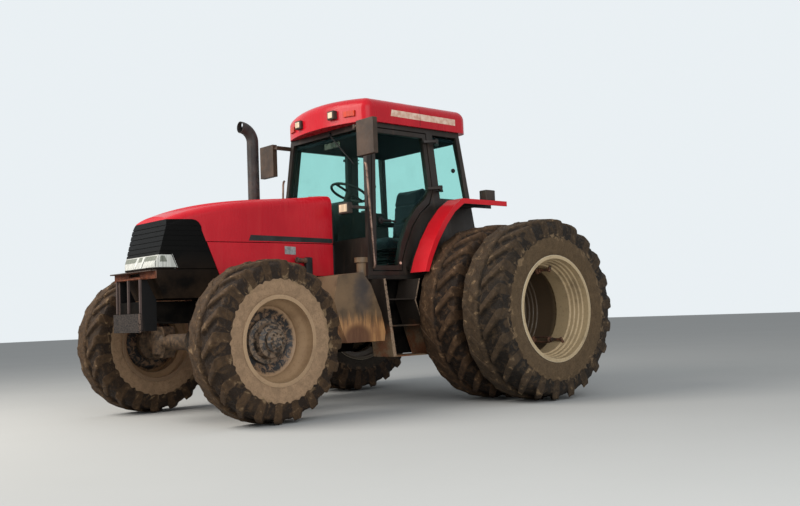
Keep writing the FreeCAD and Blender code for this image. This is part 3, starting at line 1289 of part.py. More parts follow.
# A lift rod hangs from its pin and leans out to its link: a fork at each end of a bar, and a
# turnbuckle sleeve between
fork_slope = size("(" + ROD_FOOT + " - " + ROD_TOP + ") / (" + DROP + " - 100)")
ROD_LEAN = math.degrees(math.atan(fork_slope))
upper_fork = prism("upper_fork", "YZ_Plane", (
    (ROD_TOP, "30"), (ROD_TOP + " + 28", "30"), (ROD_TOP + " + 28", "-60"), (ROD_TOP, "-60")), "46")
lower_fork = prism("lower_fork", "YZ_Plane", (
    (ROD_FOOT, "-" + DROP + " + 60"), (ROD_FOOT + " + 26", "-" + DROP + " + 60"),
    (ROD_FOOT + " + 26", "-" + DROP + " - 34"), (ROD_FOOT, "-" + DROP + " - 34")), "46")
shank_length = size(DROP + " - 100") / math.cos(math.radians(ROD_LEAN))
shank = doc.addObject("Part::Cylinder", "shank")
sleeve = doc.addObject("Part::Cylinder", "sleeve")
for bar, radius, start, length in ((shank, 13, 0.0, shank_length),
                                   (sleeve, 21, 0.3 * shank_length, 0.42 * shank_length)):
    bar.Radius = radius
    bar.Height = length
    turn = Rotation(Vector(1, 0, 0), 180 + ROD_LEAN)
    top = Vector(0, size(ROD_TOP + " + 14"), -50)
    bar.Placement = Placement(top + turn.multVec(Vector(0, 0, start)), turn)
lift_rod = without("lift_rod_bored", joined("lift_rod", [upper_fork, lower_fork, shank, sleeve]), rod(
    "rod_hole", "y", ("0", ROD_TOP + " - 10", "0"), "arm_pin_radius + seat_gap", "60"))
publish(pair("lift_rod_pair", lift_rod), "lift_rods", x="-arm_pivot_x - arm_length",
        z="arm_pivot_height")
housing = joined("housing_whole", [
    block("housing", ("-arm_pivot_x - 80", "-housing_half", "arm_pivot_height - 120"),
          ("-gearbox_rear", "housing_half", "arm_pivot_height + 90")),
    block("top_ear_left", ("-arm_pivot_x - 150", "26", "arm_pivot_height - 110"),
          ("-arm_pivot_x - 80", "46", "arm_pivot_height - 30")),
    block("top_ear_right", ("-arm_pivot_x - 150", "-46", "arm_pivot_height - 110"),
          ("-arm_pivot_x - 80", "-26", "arm_pivot_height - 30")),
])
publish(housing, "lift_housing")
top_link = joined("top_link_whole", [
    rod("top_eye", "y", ("0", "-25.7", "0"), "30", "51.4"),
    block("top_bar", ("-top_link_length", "-17", "-17"), ("0", "17", "17")),
    rod("top_far_eye", "y", ("-top_link_length", "-25", "0"), "34", "50"),
])
top_link = without("top_link_bored", top_link, rod(
    "top_far_hole", "y", ("-top_link_length", "-40", "0"), "top_ball_radius", "80"))
publish(top_link, "top_link", x="-arm_pivot_x - 120", z="arm_pivot_height - 70",
        tilt="top_link_raise")

# Power take-off stub and drawbar
publish(together("pto_whole", [rod("pto", "x", ("-gearbox_rear - seat_gap - 80", "0", "pto_height"),
                                   "pto_radius", "80")]), "pto_shaft")
hangers = [block("hanger", (x, "-60", "drawbar_height + drawbar_thick"),
                 (x + " + 44", "60", "gearbox_base")) for x in ("-300", "180")]
bar = without("drawbar_bored", block("bar", ("-900", "-50", "drawbar_height"),
              ("260", "50", "drawbar_height + drawbar_thick")),
              rod("drawbar_hole", "z", ("-850", "0", "drawbar_height - 10"), "drawbar_pin_radius",
                  "drawbar_thick + 20"))
publish(joined("drawbar_whole", [bar] + hangers), "drawbar")

doc.recompute()
faults = [thing.Name for thing in doc.Objects if {"Invalid", "Error"} & set(thing.State)]
if faults:
    raise SystemExit("not built: " + ", ".join(faults))
for thing in published:
    shape = thing.Shape
    if shape.isNull() or not shape.isValid() or not shape.Solids or shape.Volume <= 0:
        raise SystemExit("bad shape: " + thing.Label)
for thing in published:
    thing.Shape.exportStep("parts/%s.step" % thing.Label)
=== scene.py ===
import math

import bmesh
import bpy
import numpy as np
from mathutils import Matrix, Vector, noise
from mathutils.bvhtree import BVHTree


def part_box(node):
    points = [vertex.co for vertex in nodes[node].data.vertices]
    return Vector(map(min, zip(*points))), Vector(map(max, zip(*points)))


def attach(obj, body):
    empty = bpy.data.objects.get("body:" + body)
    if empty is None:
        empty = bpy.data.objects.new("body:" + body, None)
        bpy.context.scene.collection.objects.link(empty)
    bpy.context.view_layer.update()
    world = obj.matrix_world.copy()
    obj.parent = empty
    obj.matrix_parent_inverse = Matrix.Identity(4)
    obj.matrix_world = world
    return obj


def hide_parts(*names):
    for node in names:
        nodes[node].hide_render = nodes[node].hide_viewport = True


# Farm tractor with twin rear wheels, in metres. X points forward, Y to the tractor's
# left and Z up, and the origin is on the ground under the middle of the tractor.
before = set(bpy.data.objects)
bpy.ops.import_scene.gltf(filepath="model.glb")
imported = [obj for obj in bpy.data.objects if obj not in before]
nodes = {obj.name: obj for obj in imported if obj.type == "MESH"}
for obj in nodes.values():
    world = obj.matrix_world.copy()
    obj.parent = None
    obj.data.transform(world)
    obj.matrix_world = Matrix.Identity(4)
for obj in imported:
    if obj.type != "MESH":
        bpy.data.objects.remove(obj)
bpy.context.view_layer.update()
SIDES = (("left", 1), ("right", -1))

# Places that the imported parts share
REAR_AXLE_X = -1.150
FRONT_AXLE_X = 1.500
FRONT_RADIUS = 0.685
REAR_RADIUS = 0.865
KINGPIN_Y = 0.790
STEER_AT_REST = math.radians(4)

# The photograph's camera
CAMERA_PLACE = Vector((5.9106, 7.7170, 0.8585))
CAMERA_YAW = math.radians(228.3624)
CAMERA_PITCH = math.radians(3.7541)
CAMERA_ROLL = math.radians(-2.2009)
LENS_MM = 42.62
SENSOR_MM = 36.0


def add_camera():
    yaw, pitch = CAMERA_YAW, CAMERA_PITCH
    ahead = Vector((math.cos(pitch) * math.cos(yaw), math.cos(pitch) * math.sin(yaw),
                    math.sin(pitch)))
    level = Vector((math.sin(yaw), -math.cos(yaw), 0.0))
    above = level.cross(ahead)
    across = level * math.cos(CAMERA_ROLL) + above * math.sin(CAMERA_ROLL)
    upward = above * math.cos(CAMERA_ROLL) - level * math.sin(CAMERA_ROLL)
    matrix = Matrix((across, upward, -ahead)).transposed().to_4x4()
    matrix.translation = CAMERA_PLACE
    lens = bpy.data.cameras.new("camera")
    lens.lens = LENS_MM
    lens.sensor_width = SENSOR_MM
    camera = bpy.data.objects.new("camera", lens)
    camera.matrix_world = matrix
    bpy.context.scene.collection.objects.link(camera)
    bpy.context.scene.camera = camera


def add_area(name, place, aim, size, power, colour):
    lamp = bpy.data.lights.new(name, "AREA")
    lamp.size = size
    lamp.energy = power
    lamp.color = colour
    holder = bpy.data.objects.new(name, lamp)
    direction = (Vector(aim) - Vector(place)).to_track_quat("-Z", "Y")
    holder.matrix_world = Matrix.Translation(place) @ direction.to_matrix().to_4x4()
    bpy.context.scene.collection.objects.link(holder)


def add_world():
    """Soft light all round. The camera, gloss and glass see a pale backdrop instead."""
    world = bpy.data.worlds.new("studio")
    bpy.context.scene.world = world
    world.use_nodes = True
    tree = world.node_tree
    tree.nodes.clear()
    paths = tree.nodes.new("ShaderNodeLightPath")
    seen = paths.outputs["Is Camera Ray"]
    for other in ("Is Glossy Ray", "Is Transmission Ray"):
        either = tree.nodes.new("ShaderNodeMath")
        either.operation = "MAXIMUM"
        tree.links.new(seen, either.inputs[0])
        tree.links.new(paths.outputs[other], either.inputs[1])
        seen = either.outputs[0]
    soft = tree.nodes.new("ShaderNodeBackground")
    soft.inputs["Color"].default_value = (0.90, 0.95, 1.0, 1.0)
    soft.inputs["Strength"].default_value = 0.50
    backdrop = tree.nodes.new("ShaderNodeBackground")
    backdrop.inputs["Color"].default_value = (0.82, 0.87, 0.90, 1.0)
    backdrop.inputs["Strength"].default_value = 1.0
    choice = tree.nodes.new("ShaderNodeMixShader")
    tree.links.new(seen, choice.inputs["Fac"])
    tree.links.new(soft.outputs[0], choice.inputs[1])
    tree.links.new(backdrop.outputs[0], choice.inputs[2])
    out = tree.nodes.new("ShaderNodeOutputWorld")
    tree.links.new(choice.outputs[0], out.inputs["Surface"])


class Finish:
    """One material's nodes, made by short calls."""

    def __init__(self, name, roughness=0.5, **sockets):
        self.material = bpy.data.materials.new(name)
        self.material.use_nodes = True
        self.tree = self.material.node_tree
        self.shader = self.tree.nodes["Principled BSDF"]
        self.shader.inputs["Roughness"].default_value = roughness
        for socket, value in sockets.items():
            self.shader.inputs[socket.replace("_", " ")].default_value = value
        coordinates = self.add("ShaderNodeTexCoord")
        self.place = coordinates.outputs["Object"]
        self.normal = coordinates.outputs["Normal"]

    def add(self, kind, **settings):
        node = self.tree.nodes.new(kind)
        for key, value in settings.items():
            setattr(node, key, value)
        return node

    def feed(self, target, source):
        """Link an output into a socket, or set the socket's own value."""
        if isinstance(source, bpy.types.NodeSocket):
            self.tree.links.new(source, target)
        elif hasattr(source, "__len__") and len(source) == 3 and len(target.default_value) == 4:
            target.default_value = (*source, 1.0)
        else:
            target.default_value = source

    def noise(self, scale, detail=3.0, roughness=0.55, stretch=None, distortion=0.0):
        """Cloudy pattern, 0 to 1. A stretch above 1 along an axis packs it closer there."""
        texture = self.add("ShaderNodeTexNoise")
        spot = self.place
        if stretch:
            mapping = self.add("ShaderNodeMapping")
            mapping.inputs["Scale"].default_value = stretch
            self.feed(mapping.inputs["Vector"], spot)
            spot = mapping.outputs["Vector"]
        self.feed(texture.inputs["Vector"], spot)
        for socket, value in (("Scale", scale), ("Detail", detail), ("Roughness", roughness),
                              ("Distortion", distortion)):
            texture.inputs[socket].default_value = value
        return texture.outputs["Fac"]

    def ramp(self, source, start, end, low=0.0, high=1.0):
        """Smooth step from low to high as the source goes from start to end."""
        node = self.add("ShaderNodeMapRange", interpolation_type="SMOOTHSTEP")
        for socket, value in zip(("Value", "From Min", "From Max", "To Min", "To Max"),
                                 (source, start, end, low, high)):
            self.feed(node.inputs[socket], value)
        return node.outputs["Result"]

    def mix(self, share, first, second):
        node = self.add("ShaderNodeMix", data_type="RGBA")
        for index, value in ((0, share), (6, first), (7, second)):
            self.feed(node.inputs[index], value)
        return node.outputs[2]

    def sum(self, operation, first, second=0.0):
        node = self.add("ShaderNodeMath", operation=operation)
        self.feed(node.inputs[0], first)
        self.feed(node.inputs[1], second)
        return node.outputs[0]

    def part(self, vector, axis):
        node = self.add("ShaderNodeSeparateXYZ")
        self.feed(node.inputs[0], vector)
        return node.outputs[axis]

    def attribute(self, name):
        return self.add("ShaderNodeAttribute", attribute_name=name).outputs["Fac"]

    def pointiness(self):
        return self.add("ShaderNodeNewGeometry").outputs["Pointiness"]

    def colour(self, source):
        self.feed(self.shader.inputs["Base Color"], source)

    def rough(self, source):
        self.feed(self.shader.inputs["Roughness"], source)

    def bump(self, height, distance, strength=1.0):
        node = self.add("ShaderNodeBump")
        node.inputs["Strength"].default_value = strength
        node.inputs["Distance"].default_value = distance
        self.feed(node.inputs["Height"], height)
        self.feed(self.shader.inputs["Normal"], node.outputs["Normal"])


def red_paint():
    """Sun-faded enamel with wiped streaks, and dust towards the bottom."""
    paint = Finish("red_paint", 0.36, Specular_IOR_Level=0.22)
    streaks = paint.noise(1.0, 4.0, 0.6, stretch=(9.0, 9.0, 1.3), distortion=0.6)
    clouds = paint.noise(1.7, 3.0)
    specks = paint.noise(120.0, 2.0)
    base = paint.mix(paint.ramp(clouds, 0.3, 0.72), (0.45, 0.006, 0.015), (0.56, 0.012, 0.022))
    faded = paint.mix(paint.ramp(streaks, 0.48, 0.82, 0.0, 0.30), base, (0.58, 0.055, 0.050))
    height = paint.part(paint.place, "Z")
    wavy = paint.sum("ADD", height, paint.sum("MULTIPLY", clouds, 0.35))
    low = paint.ramp(wavy, 1.62, 1.25, 0.0, 0.25)
    dusty = paint.mix(low, faded, (0.30, 0.055, 0.040))
    paint.colour(paint.mix(paint.ramp(specks, 0.66, 0.80, 0.0, 0.18), dusty, (0.30, 0.12, 0.08)))
    upward = paint.part(paint.add("ShaderNodeNewGeometry").outputs["Normal"], "Z")
    paint.rough(paint.sum("MAXIMUM", paint.ramp(paint.sum("ADD", streaks, low), 0.3, 1.1, 0.24, 0.50), paint.ramp(upward, 0.90, 0.99, 0.0, 0.92)))
    paint.bump(paint.noise(260.0, 2.0), 0.0003, 0.25)
    return paint.material


def fender_paint():
    """The red of the hood outside, and near black on faces turned down and on the inner faces: painted shade under
    and inside the fender.
    """
    paint = Finish("fender_paint", 0.36, Specular_IOR_Level=0.22)
    clouds = paint.noise(2.1, 4.0)
    specks = paint.noise(70.0, 3.0)
    red = paint.mix(paint.ramp(clouds, 0.3, 0.7), (0.60, 0.010, 0.018), (0.74, 0.018, 0.028))
    red = paint.mix(paint.ramp(specks, 0.6, 0.78, 0.0, 0.30), red, (0.36, 0.10, 0.06))
    facing = paint.part(paint.normal, "Z")
    # Painted shade: near black on faces turned down and on the inner faces, where shade falls under and inside the
    # fender.
    below = paint.ramp(facing, -0.05, -0.15)
    across = paint.sum("ABSOLUTE", paint.part(paint.place, "Y"))
    inside = paint.ramp(across, 0.838, 0.834)
    inner = paint.mix(clouds, (0.006, 0.005, 0.005), (0.022, 0.015, 0.010))
    paint.colour(paint.mix(paint.sum("MAXIMUM", below, inside), red, inner))
    paint.rough(paint.ramp(clouds, 0.3, 0.7, 0.28, 0.48))
    paint.bump(paint.noise(240.0, 2.0), 0.0003, 0.25)
    return paint.material


def nose_plastic():
    """Black moulding, dusted brown towards the bottom."""
    plastic = Finish("nose_plastic", 0.5, Specular_IOR_Level=0.06)
    clouds = plastic.noise(3.0, 5.0, 0.62)
    scuffs = plastic.noise(1.0, 4.0, 0.6, stretch=(3.0, 3.0, 26.0))
    height = plastic.part(plastic.place, "Z")
    wavy = plastic.sum("ADD", height, plastic.sum("MULTIPLY", clouds, 0.5))
    low = plastic.ramp(wavy, 1.78, 1.38, 0.0, 0.85)
    base = plastic.mix(plastic.ramp(scuffs, 0.45, 0.8, 0.0, 0.5), (0.0012, 0.0010, 0.0008),
                       (0.0040, 0.0033, 0.0027))
    plastic.colour(plastic.mix(plastic.sum("MULTIPLY", low, plastic.ramp(clouds, 0.25, 0.7)),
                               base, (0.040, 0.024, 0.014)))
    plastic.rough(plastic.ramp(plastic.sum("ADD", clouds, low), 0.3, 1.4, 0.34, 0.75))
    plastic.bump(plastic.noise(420.0, 2.0), 0.0004, 0.5)
    return plastic.material


def frame_paint():
    """Dark brown-black enamel of the cab's posts and doors, worn and dusty."""
    paint = Finish("frame_paint", 0.42, Specular_IOR_Level=0.3)
    clouds = paint.noise(4.0, 5.0, 0.6)
    streaks = paint.noise(1.0, 4.0, 0.6, stretch=(14.0, 14.0, 1.6))
    base = paint.mix(clouds, (0.008, 0.006, 0.005), (0.030, 0.020, 0.014))
    paint.colour(paint.mix(paint.ramp(streaks, 0.52, 0.8, 0.0, 0.55), base, (0.085, 0.054, 0.034)))
    paint.rough(paint.ramp(clouds, 0.3, 0.7, 0.32, 0.6))
    paint.bump(paint.noise(180.0, 3.0), 0.0004, 0.4)
    return paint.material


def dusty_metal(name, dark, mid, pale, roughness=0.62, metallic=0.0, grain=30.0, low=0.9):
    """Painted or cast metal under dirt: dark at heart, paler and browner in blotches, and
    dustier towards the ground."""
    metal = Finish(name, roughness, Metallic=metallic, Specular_IOR_Level=0.3)
    clouds = metal.noise(5.5, 6.0, 0.62)
    blotches = metal.noise(grain, 5.0, 0.65)
    base = metal.mix(metal.ramp(clouds, 0.32, 0.68), dark, mid)
    height = metal.part(metal.place, "Z")
    dust = metal.ramp(metal.sum("SUBTRACT", height, metal.sum("MULTIPLY", clouds, 0.8)), low, low - 0.9,
                      0.15, 0.75)
    dust = metal.sum("MULTIPLY", dust, metal.ramp(blotches, 0.38, 0.66))
    metal.colour(metal.mix(dust, base, pale))
    metal.rough(metal.ramp(blotches, 0.3, 0.7, roughness - 0.14, min(0.95, roughness + 0.2)))
    metal.bump(metal.sum("ADD", blotches, metal.noise(210.0, 2.0)), 0.002, 0.5)
    return metal.material


def rim_paint(name, clean, dirt_and_shade, painted_edge_highlight, centre, well_radius, crust_radius, shade_deep_at):
    """Rim enamel: clean near the flange, darker deeper into the well and the barrel as painted
    shade, with dust blotches and rust specks, pale edges as a painted highlight, and crusted grease on the disc."""
    paint = Finish(name, 0.45, Specular_IOR_Level=0.35)
    clouds = paint.noise(4.0, 6.0, 0.6)
    grain = paint.noise(46.0, 5.0, 0.65)
    clumps = paint.noise(20.0, 7.0, 0.68, distortion=0.8)
    shift = paint.add("ShaderNodeVectorMath", operation="SUBTRACT")
    paint.feed(shift.inputs[0], paint.place)
    shift.inputs[1].default_value = centre
    x, z = (paint.part(shift.outputs[0], axis) for axis in "XZ")
    radius = paint.sum("SQRT", paint.sum("ADD", paint.sum("POWER", x, 2.0), paint.sum("POWER", z, 2.0)))
    # Painted shade: darker towards the well and deeper in along the axle, where the rim's hollow lies in shade; the
    # clouds add real dust blotches.
    inward = paint.ramp(radius, well_radius + 0.02, well_radius - 0.06, 0.0, 0.8)
    share = paint.sum("MAXIMUM", inward, paint.ramp(clouds, 0.46, 0.74, 0.0, 0.55))
    depth = paint.sum("ABSOLUTE", paint.part(paint.place, "Y"))
    share = paint.sum("MAXIMUM", share, paint.ramp(depth, shade_deep_at + 0.08, shade_deep_at - 0.06, 0.0, 0.95))
    base = paint.mix(share, clean, dirt_and_shade)
    base = paint.mix(paint.ramp(grain, 0.54, 0.76, 0.0, 0.5), base, (0.115, 0.060, 0.032))
    # Painted highlight: pale on sharp edges, found by pointiness.
    base = paint.mix(paint.ramp(paint.pointiness(), 0.52, 0.60, 0.0, 0.85), base, painted_edge_highlight)
    crust = paint.ramp(paint.sum("ADD", radius, paint.sum("MULTIPLY", clumps, 0.06)), crust_radius + 0.04,
                       crust_radius + 0.015)
    caked = paint.mix(paint.ramp(clumps, 0.47, 0.60), (0.009, 0.008, 0.008), (0.17, 0.10, 0.055))
    paint.colour(paint.mix(crust, base, caked))
    paint.rough(paint.ramp(grain, 0.3, 0.7, 0.34, 0.66))
    paint.bump(paint.sum("ADD", grain, paint.sum("MULTIPLY", clumps, crust)), 0.0012, 0.45)
    return paint.material


def grease():
    """Black oil and mud caked on the front hubs, with dry tan patches."""
    crust = Finish("hub_grease", 0.6)
    clumps = crust.noise(22.0, 7.0, 0.68, distortion=0.8)
    fine = crust.noise(95.0, 4.0, 0.6)
    base = crust.mix(crust.ramp(clumps, 0.45, 0.56), (0.014, 0.012, 0.011), (0.21, 0.145, 0.095))
    crust.colour(crust.mix(crust.ramp(fine, 0.4, 0.7, 0.0, 0.5), base, (0.075, 0.052, 0.036)))
    crust.rough(crust.ramp(clumps, 0.4, 0.6, 0.35, 0.85))
    crust.bump(crust.sum("ADD", clumps, crust.sum("MULTIPLY", fine, 0.4)), 0.008, 0.8)
    return crust.material


def rusty_steel():
    steel = Finish("rusty_steel", 0.72)
    clouds = steel.noise(14.0, 7.0, 0.66)
    fine = steel.noise(90.0, 4.0, 0.6)
    base = steel.mix(steel.ramp(clouds, 0.36, 0.62), (0.022, 0.017, 0.014), (0.135, 0.055, 0.028))
    steel.colour(steel.mix(steel.ramp(fine, 0.5, 0.72, 0.0, 0.6), base, (0.20, 0.115, 0.062)))
    steel.bump(steel.sum("ADD", clouds, steel.sum("MULTIPLY", fine, 0.5)), 0.002, 0.6)
    return steel.material


def bracket_finish():
    """Orange rust on the bracket's band, brown flats, speckled dark foot; black cheeks and back as painted shade in
    the void behind the band, and pale edges as a painted highlight.
    """
    steel = Finish("bracket_steel", 0.7, Specular_IOR_Level=0.2)
    clouds = steel.noise(12.0, 6.0, 0.66)
    fine = steel.noise(85.0, 4.0, 0.6)
    height = steel.part(steel.place, "Z")
    ahead = steel.part(steel.place, "X")
    # Painted shade: the black of the cheeks and back plate stands for the shaded void behind the bracket.
    black = steel.mix(fine, (0.003, 0.003, 0.003), (0.010, 0.008, 0.007))
    foot = steel.mix(steel.ramp(fine, 0.42, 0.62), (0.006, 0.005, 0.005), (0.030, 0.024, 0.020))
    flats = steel.mix(clouds, (0.050, 0.034, 0.030), (0.12, 0.085, 0.075))
    band = steel.mix(steel.ramp(clouds, 0.36, 0.62), (0.060, 0.016, 0.007), (0.155, 0.045, 0.018))
    colour = steel.mix(steel.ramp(ahead, 2.202, 2.206), black, flats)
    low = steel.sum("MULTIPLY", steel.ramp(height, 0.962, 0.958), steel.ramp(ahead, 2.214, 2.218))
    colour = steel.mix(low, colour, foot)
    colour = steel.mix(steel.sum("MULTIPLY", steel.ramp(height, 1.244, 1.247), steel.ramp(ahead, 2.10, 2.12)),
                       colour, band)
    colour = steel.mix(steel.ramp(height, 1.308, 1.312), colour, (0.030, 0.020, 0.016))
    # Painted highlight: pale on sharp edges, where the flats catch the light.
    pale = steel.sum("MULTIPLY", steel.ramp(steel.pointiness(), 0.54, 0.62, 0.0, 0.8), steel.ramp(fine, 0.4, 0.5))
    # Painted shade: near black below the band and behind the nose's lower front.
    shade = steel.sum("MULTIPLY", steel.ramp(ahead, 2.190, 2.165), steel.ramp(height, 1.247, 1.244))
    steel.colour(steel.mix(shade, steel.mix(pale, colour, (0.23, 0.16, 0.125)), (0.0045, 0.004, 0.004)))
    steel.bump(steel.sum("ADD", clouds, steel.sum("MULTIPLY", fine, 0.6)), 0.0016, 0.5)
    return steel.material


def step_finish():
    """Steps: near black up by the cab, and worn to orange and tan towards the bottom."""
    steel = Finish("step_steel", 0.66, Specular_IOR_Level=0.25)
    clouds = steel.noise(7.0, 6.0, 0.64)
    fine = steel.noise(70.0, 5.0, 0.62)
    height = steel.part(steel.place, "Z")
    wavy = steel.sum("ADD", height, steel.sum("MULTIPLY", clouds, 0.30))
    dark = steel.mix(fine, (0.009, 0.007, 0.006), (0.040, 0.028, 0.020))
    worn = steel.mix(steel.ramp(clouds, 0.40, 0.60), (0.19, 0.075, 0.033), (0.20, 0.135, 0.078))
    worn = steel.mix(steel.ramp(fine, 0.52, 0.70, 0.0, 0.6), worn, (0.055, 0.032, 0.020))
    colour = steel.mix(steel.ramp(wavy, 0.98, 0.76), dark, worn)
    across = steel.sum("ABSOLUTE", steel.part(steel.place, "Y"))
    pale = steel.sum("MULTIPLY", steel.ramp(across, 0.927, 0.932), steel.ramp(fine, 0.36, 0.5))
    steel.colour(steel.mix(steel.sum("MULTIPLY", pale, 0.75), colour, (0.34, 0.235, 0.16)))
    steel.rough(steel.ramp(fine, 0.3, 0.7, 0.45, 0.85))
    steel.bump(steel.sum("ADD", clouds, steel.sum("MULTIPLY", fine, 0.6)), 0.0015, 0.5)
    return steel.material


def window_glass():
    """Green-tinted safety glass: a see-through tint under a thin reflection."""
    glass = Finish("glass", 0.04)
    tree = glass.tree
    smears = glass.noise(2.4, 5.0, 0.65)
    tint = glass.add("ShaderNodeBsdfTransparent")
    tint.inputs["Color"].default_value = (0.80, 0.955, 0.935, 1.0)
    glass.colour((0.035, 0.055, 0.050))
    glass.rough(glass.ramp(smears, 0.3, 0.8, 0.03, 0.22))
    slant = glass.add("ShaderNodeLayerWeight").outputs["Facing"]
    share = glass.sum("MULTIPLY", glass.sum("POWER", slant, 3.0), 0.30)
    share = glass.sum("ADD", share, glass.ramp(smears, 0.42, 0.85, 0.008, 0.045))
    blend = glass.add("ShaderNodeMixShader")
    tree.links.new(share, blend.inputs["Fac"])
    tree.links.new(tint.outputs[0], blend.inputs[1])
    tree.links.new(glass.shader.outputs[0], blend.inputs[2])
    output = tree.nodes["Material Output"]
    tree.links.new(blend.outputs[0], output.inputs["Surface"])
    return glass.material


def lamp_lens(name="lamp_lens", colour=(0.60, 0.60, 0.55), shine=0.35):
    lens = Finish(name, 0.16, Specular_IOR_Level=shine)
    bands = lens.noise(1.0, 2.0, 0.4, stretch=(60.0, 60.0, 4.0))
    lens.colour(lens.mix(lens.ramp(bands, 0.35, 0.65), tuple(0.72 * c for c in colour), colour))
    lens.rough(lens.ramp(bands, 0.3, 0.7, 0.10, 0.28))
    lens.bump(bands, 0.001, 0.3)
    return lens.material


def tank_plastic():
    """Moulded tank: brown-grey under dust, a dark wiped patch, and rust drips below."""
    plastic = Finish("tank_plastic", 0.5)
    clouds = plastic.noise(3.2, 6.0, 0.6)
    drips = plastic.noise(1.0, 5.0, 0.7, stretch=(26.0, 26.0, 3.4))
    height = plastic.part(plastic.place, "Z")
    base = plastic.mix(plastic.ramp(clouds, 0.3, 0.68), (0.066, 0.040, 0.020), (0.180, 0.108, 0.054))
    ahead = plastic.part(plastic.place, "X")
    away = plastic.sum("ADD", plastic.sum("POWER", plastic.sum("DIVIDE", plastic.sum(
        "SUBTRACT", ahead, 0.36), 0.11), 2.0), plastic.sum("POWER", plastic.sum(
            "DIVIDE", plastic.sum("SUBTRACT", height, 1.08), 0.19), 2.0))
    patch = plastic.ramp(plastic.sum("ADD", away, plastic.sum("MULTIPLY", clouds, 2.4)), 3.0, 1.1, 0.0, 0.75)
    base = plastic.mix(patch, base, (0.022, 0.022, 0.026))
    low = plastic.ramp(plastic.sum("ADD", height, plastic.sum("MULTIPLY", drips, 0.3)), 1.06, 0.90)
    tan = plastic.mix(plastic.ramp(drips, 0.36, 0.62), (0.50, 0.255, 0.100), (0.26, 0.115, 0.045))
    base = plastic.mix(plastic.sum("MULTIPLY", low, 0.85), base, tan)
    centre = plastic.sum("ADD", plastic.sum("POWER", plastic.sum("DIVIDE", plastic.sum(
        "SUBTRACT", ahead, 0.43), 0.17), 2.0), plastic.sum("POWER", plastic.sum(
            "DIVIDE", plastic.sum("SUBTRACT", height, 0.66), 0.14), 2.0))
    rust = plastic.ramp(plastic.sum("ADD", centre, drips), 1.7, 0.9, 0.0, 0.85)
    plastic.colour(plastic.mix(rust, base, (0.075, 0.024, 0.009)))
    plastic.rough(plastic.ramp(clouds, 0.3, 0.7, 0.36, 0.72))
    plastic.bump(plastic.noise(120.0, 4.0), 0.0008, 0.4)
    return plastic.material


def mud(name, valley_mud_and_shade, block, crest_highlight_and_clod, ring, ring_edge, scallop=0.04):
    """Tyre rubber under field mud. Attributes give a lug's height and the share of the
    way from bead to tread, and the ring is the wiped sidewall inside that share. The valleys take a dark colour,
    painted shade over the mud, and sharp ridges a pale crest colour, painted highlight, which also tints the dry
    clods."""
    rubber = Finish(name, 0.8, Specular_IOR_Level=0.25)
    clouds = rubber.noise(3.5, 5.0, 0.6)
    lumps = rubber.noise(15.0, 6.0, 0.62, distortion=0.6)
    fine = rubber.noise(75.0, 5.0, 0.65)
    way = rubber.attribute("way")
    lug = rubber.attribute("lug")
    # Painted shade: the dark valley colour fills the hollows between the lugs, mixed with mud.
    deep = rubber.mix(rubber.ramp(lumps, 0.48, 0.68), valley_mud_and_shade, block)
    deep = rubber.mix(rubber.ramp(clouds, 0.50, 0.64, 0.0, 0.5), deep, tuple(0.6 * c for c in block))
    top = rubber.mix(rubber.ramp(lumps, 0.36, 0.60), tuple(0.55 * c for c in block), block)
    # Painted highlight: pointy ridges turn to the pale crest colour; pale lumps are dry mud.
    highlight_ridge = rubber.ramp(rubber.pointiness(), 0.50, 0.57)
    pale = rubber.sum("MULTIPLY", highlight_ridge, rubber.ramp(fine, 0.34, 0.56))
    pale = rubber.sum("MAXIMUM", pale, rubber.ramp(lumps, 0.58, 0.70, 0.0, 0.75))
    pale = rubber.sum("MULTIPLY", pale, rubber.ramp(clouds, 0.32, 0.56, 0.25, 1.0))
    tread = rubber.mix(rubber.ramp(lug, 0.25, 0.8), deep, rubber.mix(pale, top, crest_highlight_and_clod))
    tread = rubber.mix(rubber.ramp(fine, 0.55, 0.75, 0.0, 0.4), tread, block)
    ring_colour = rubber.mix(rubber.ramp(lumps, 0.3, 0.7), tuple(0.70 * c for c in ring), ring)
    ring_colour = rubber.mix(rubber.ramp(fine, 0.52, 0.68, 0.0, 0.55), ring_colour,
                             tuple(0.45 * c for c in ring))
    edge = rubber.sum("ADD", way, rubber.sum("MULTIPLY", lumps, scallop))
    edge = rubber.sum("ADD", edge, rubber.sum("MULTIPLY", fine, 0.02))
    inside = rubber.ramp(edge, ring_edge + 0.016, ring_edge)
    apart = rubber.sum("ABSOLUTE", rubber.sum("SUBTRACT", edge, ring_edge + 0.03))
    clods = rubber.sum("MULTIPLY", rubber.ramp(apart, 0.13, 0.05), rubber.ramp(lumps, 0.50, 0.60, 0.0, 0.8))
    clods = rubber.sum("MULTIPLY", clods, rubber.ramp(clouds, 0.42, 0.56))
    rubber.colour(rubber.mix(clods, rubber.mix(inside, tread, ring_colour), tuple(0.75 * c for c in crest_highlight_and_clod)))
    rubber.rough(rubber.ramp(fine, 0.3, 0.7, 0.62, 0.95))
    relief = rubber.sum("ADD", lumps, rubber.sum("MULTIPLY", fine, 0.4))
    relief = rubber.sum("MULTIPLY", relief, rubber.ramp(inside, 0.0, 1.0, 1.0, 0.15))
    rubber.bump(relief, 0.016, 0.9)
    return rubber.material


def floor_finish():
    plain = Finish("floor", 0.9, Specular_IOR_Level=0.0)
    clouds = plain.noise(0.5, 3.0)
    plain.colour(plain.mix(clouds, (0.47, 0.47, 0.455), (0.51, 0.51, 0.495)))
    return plain.material


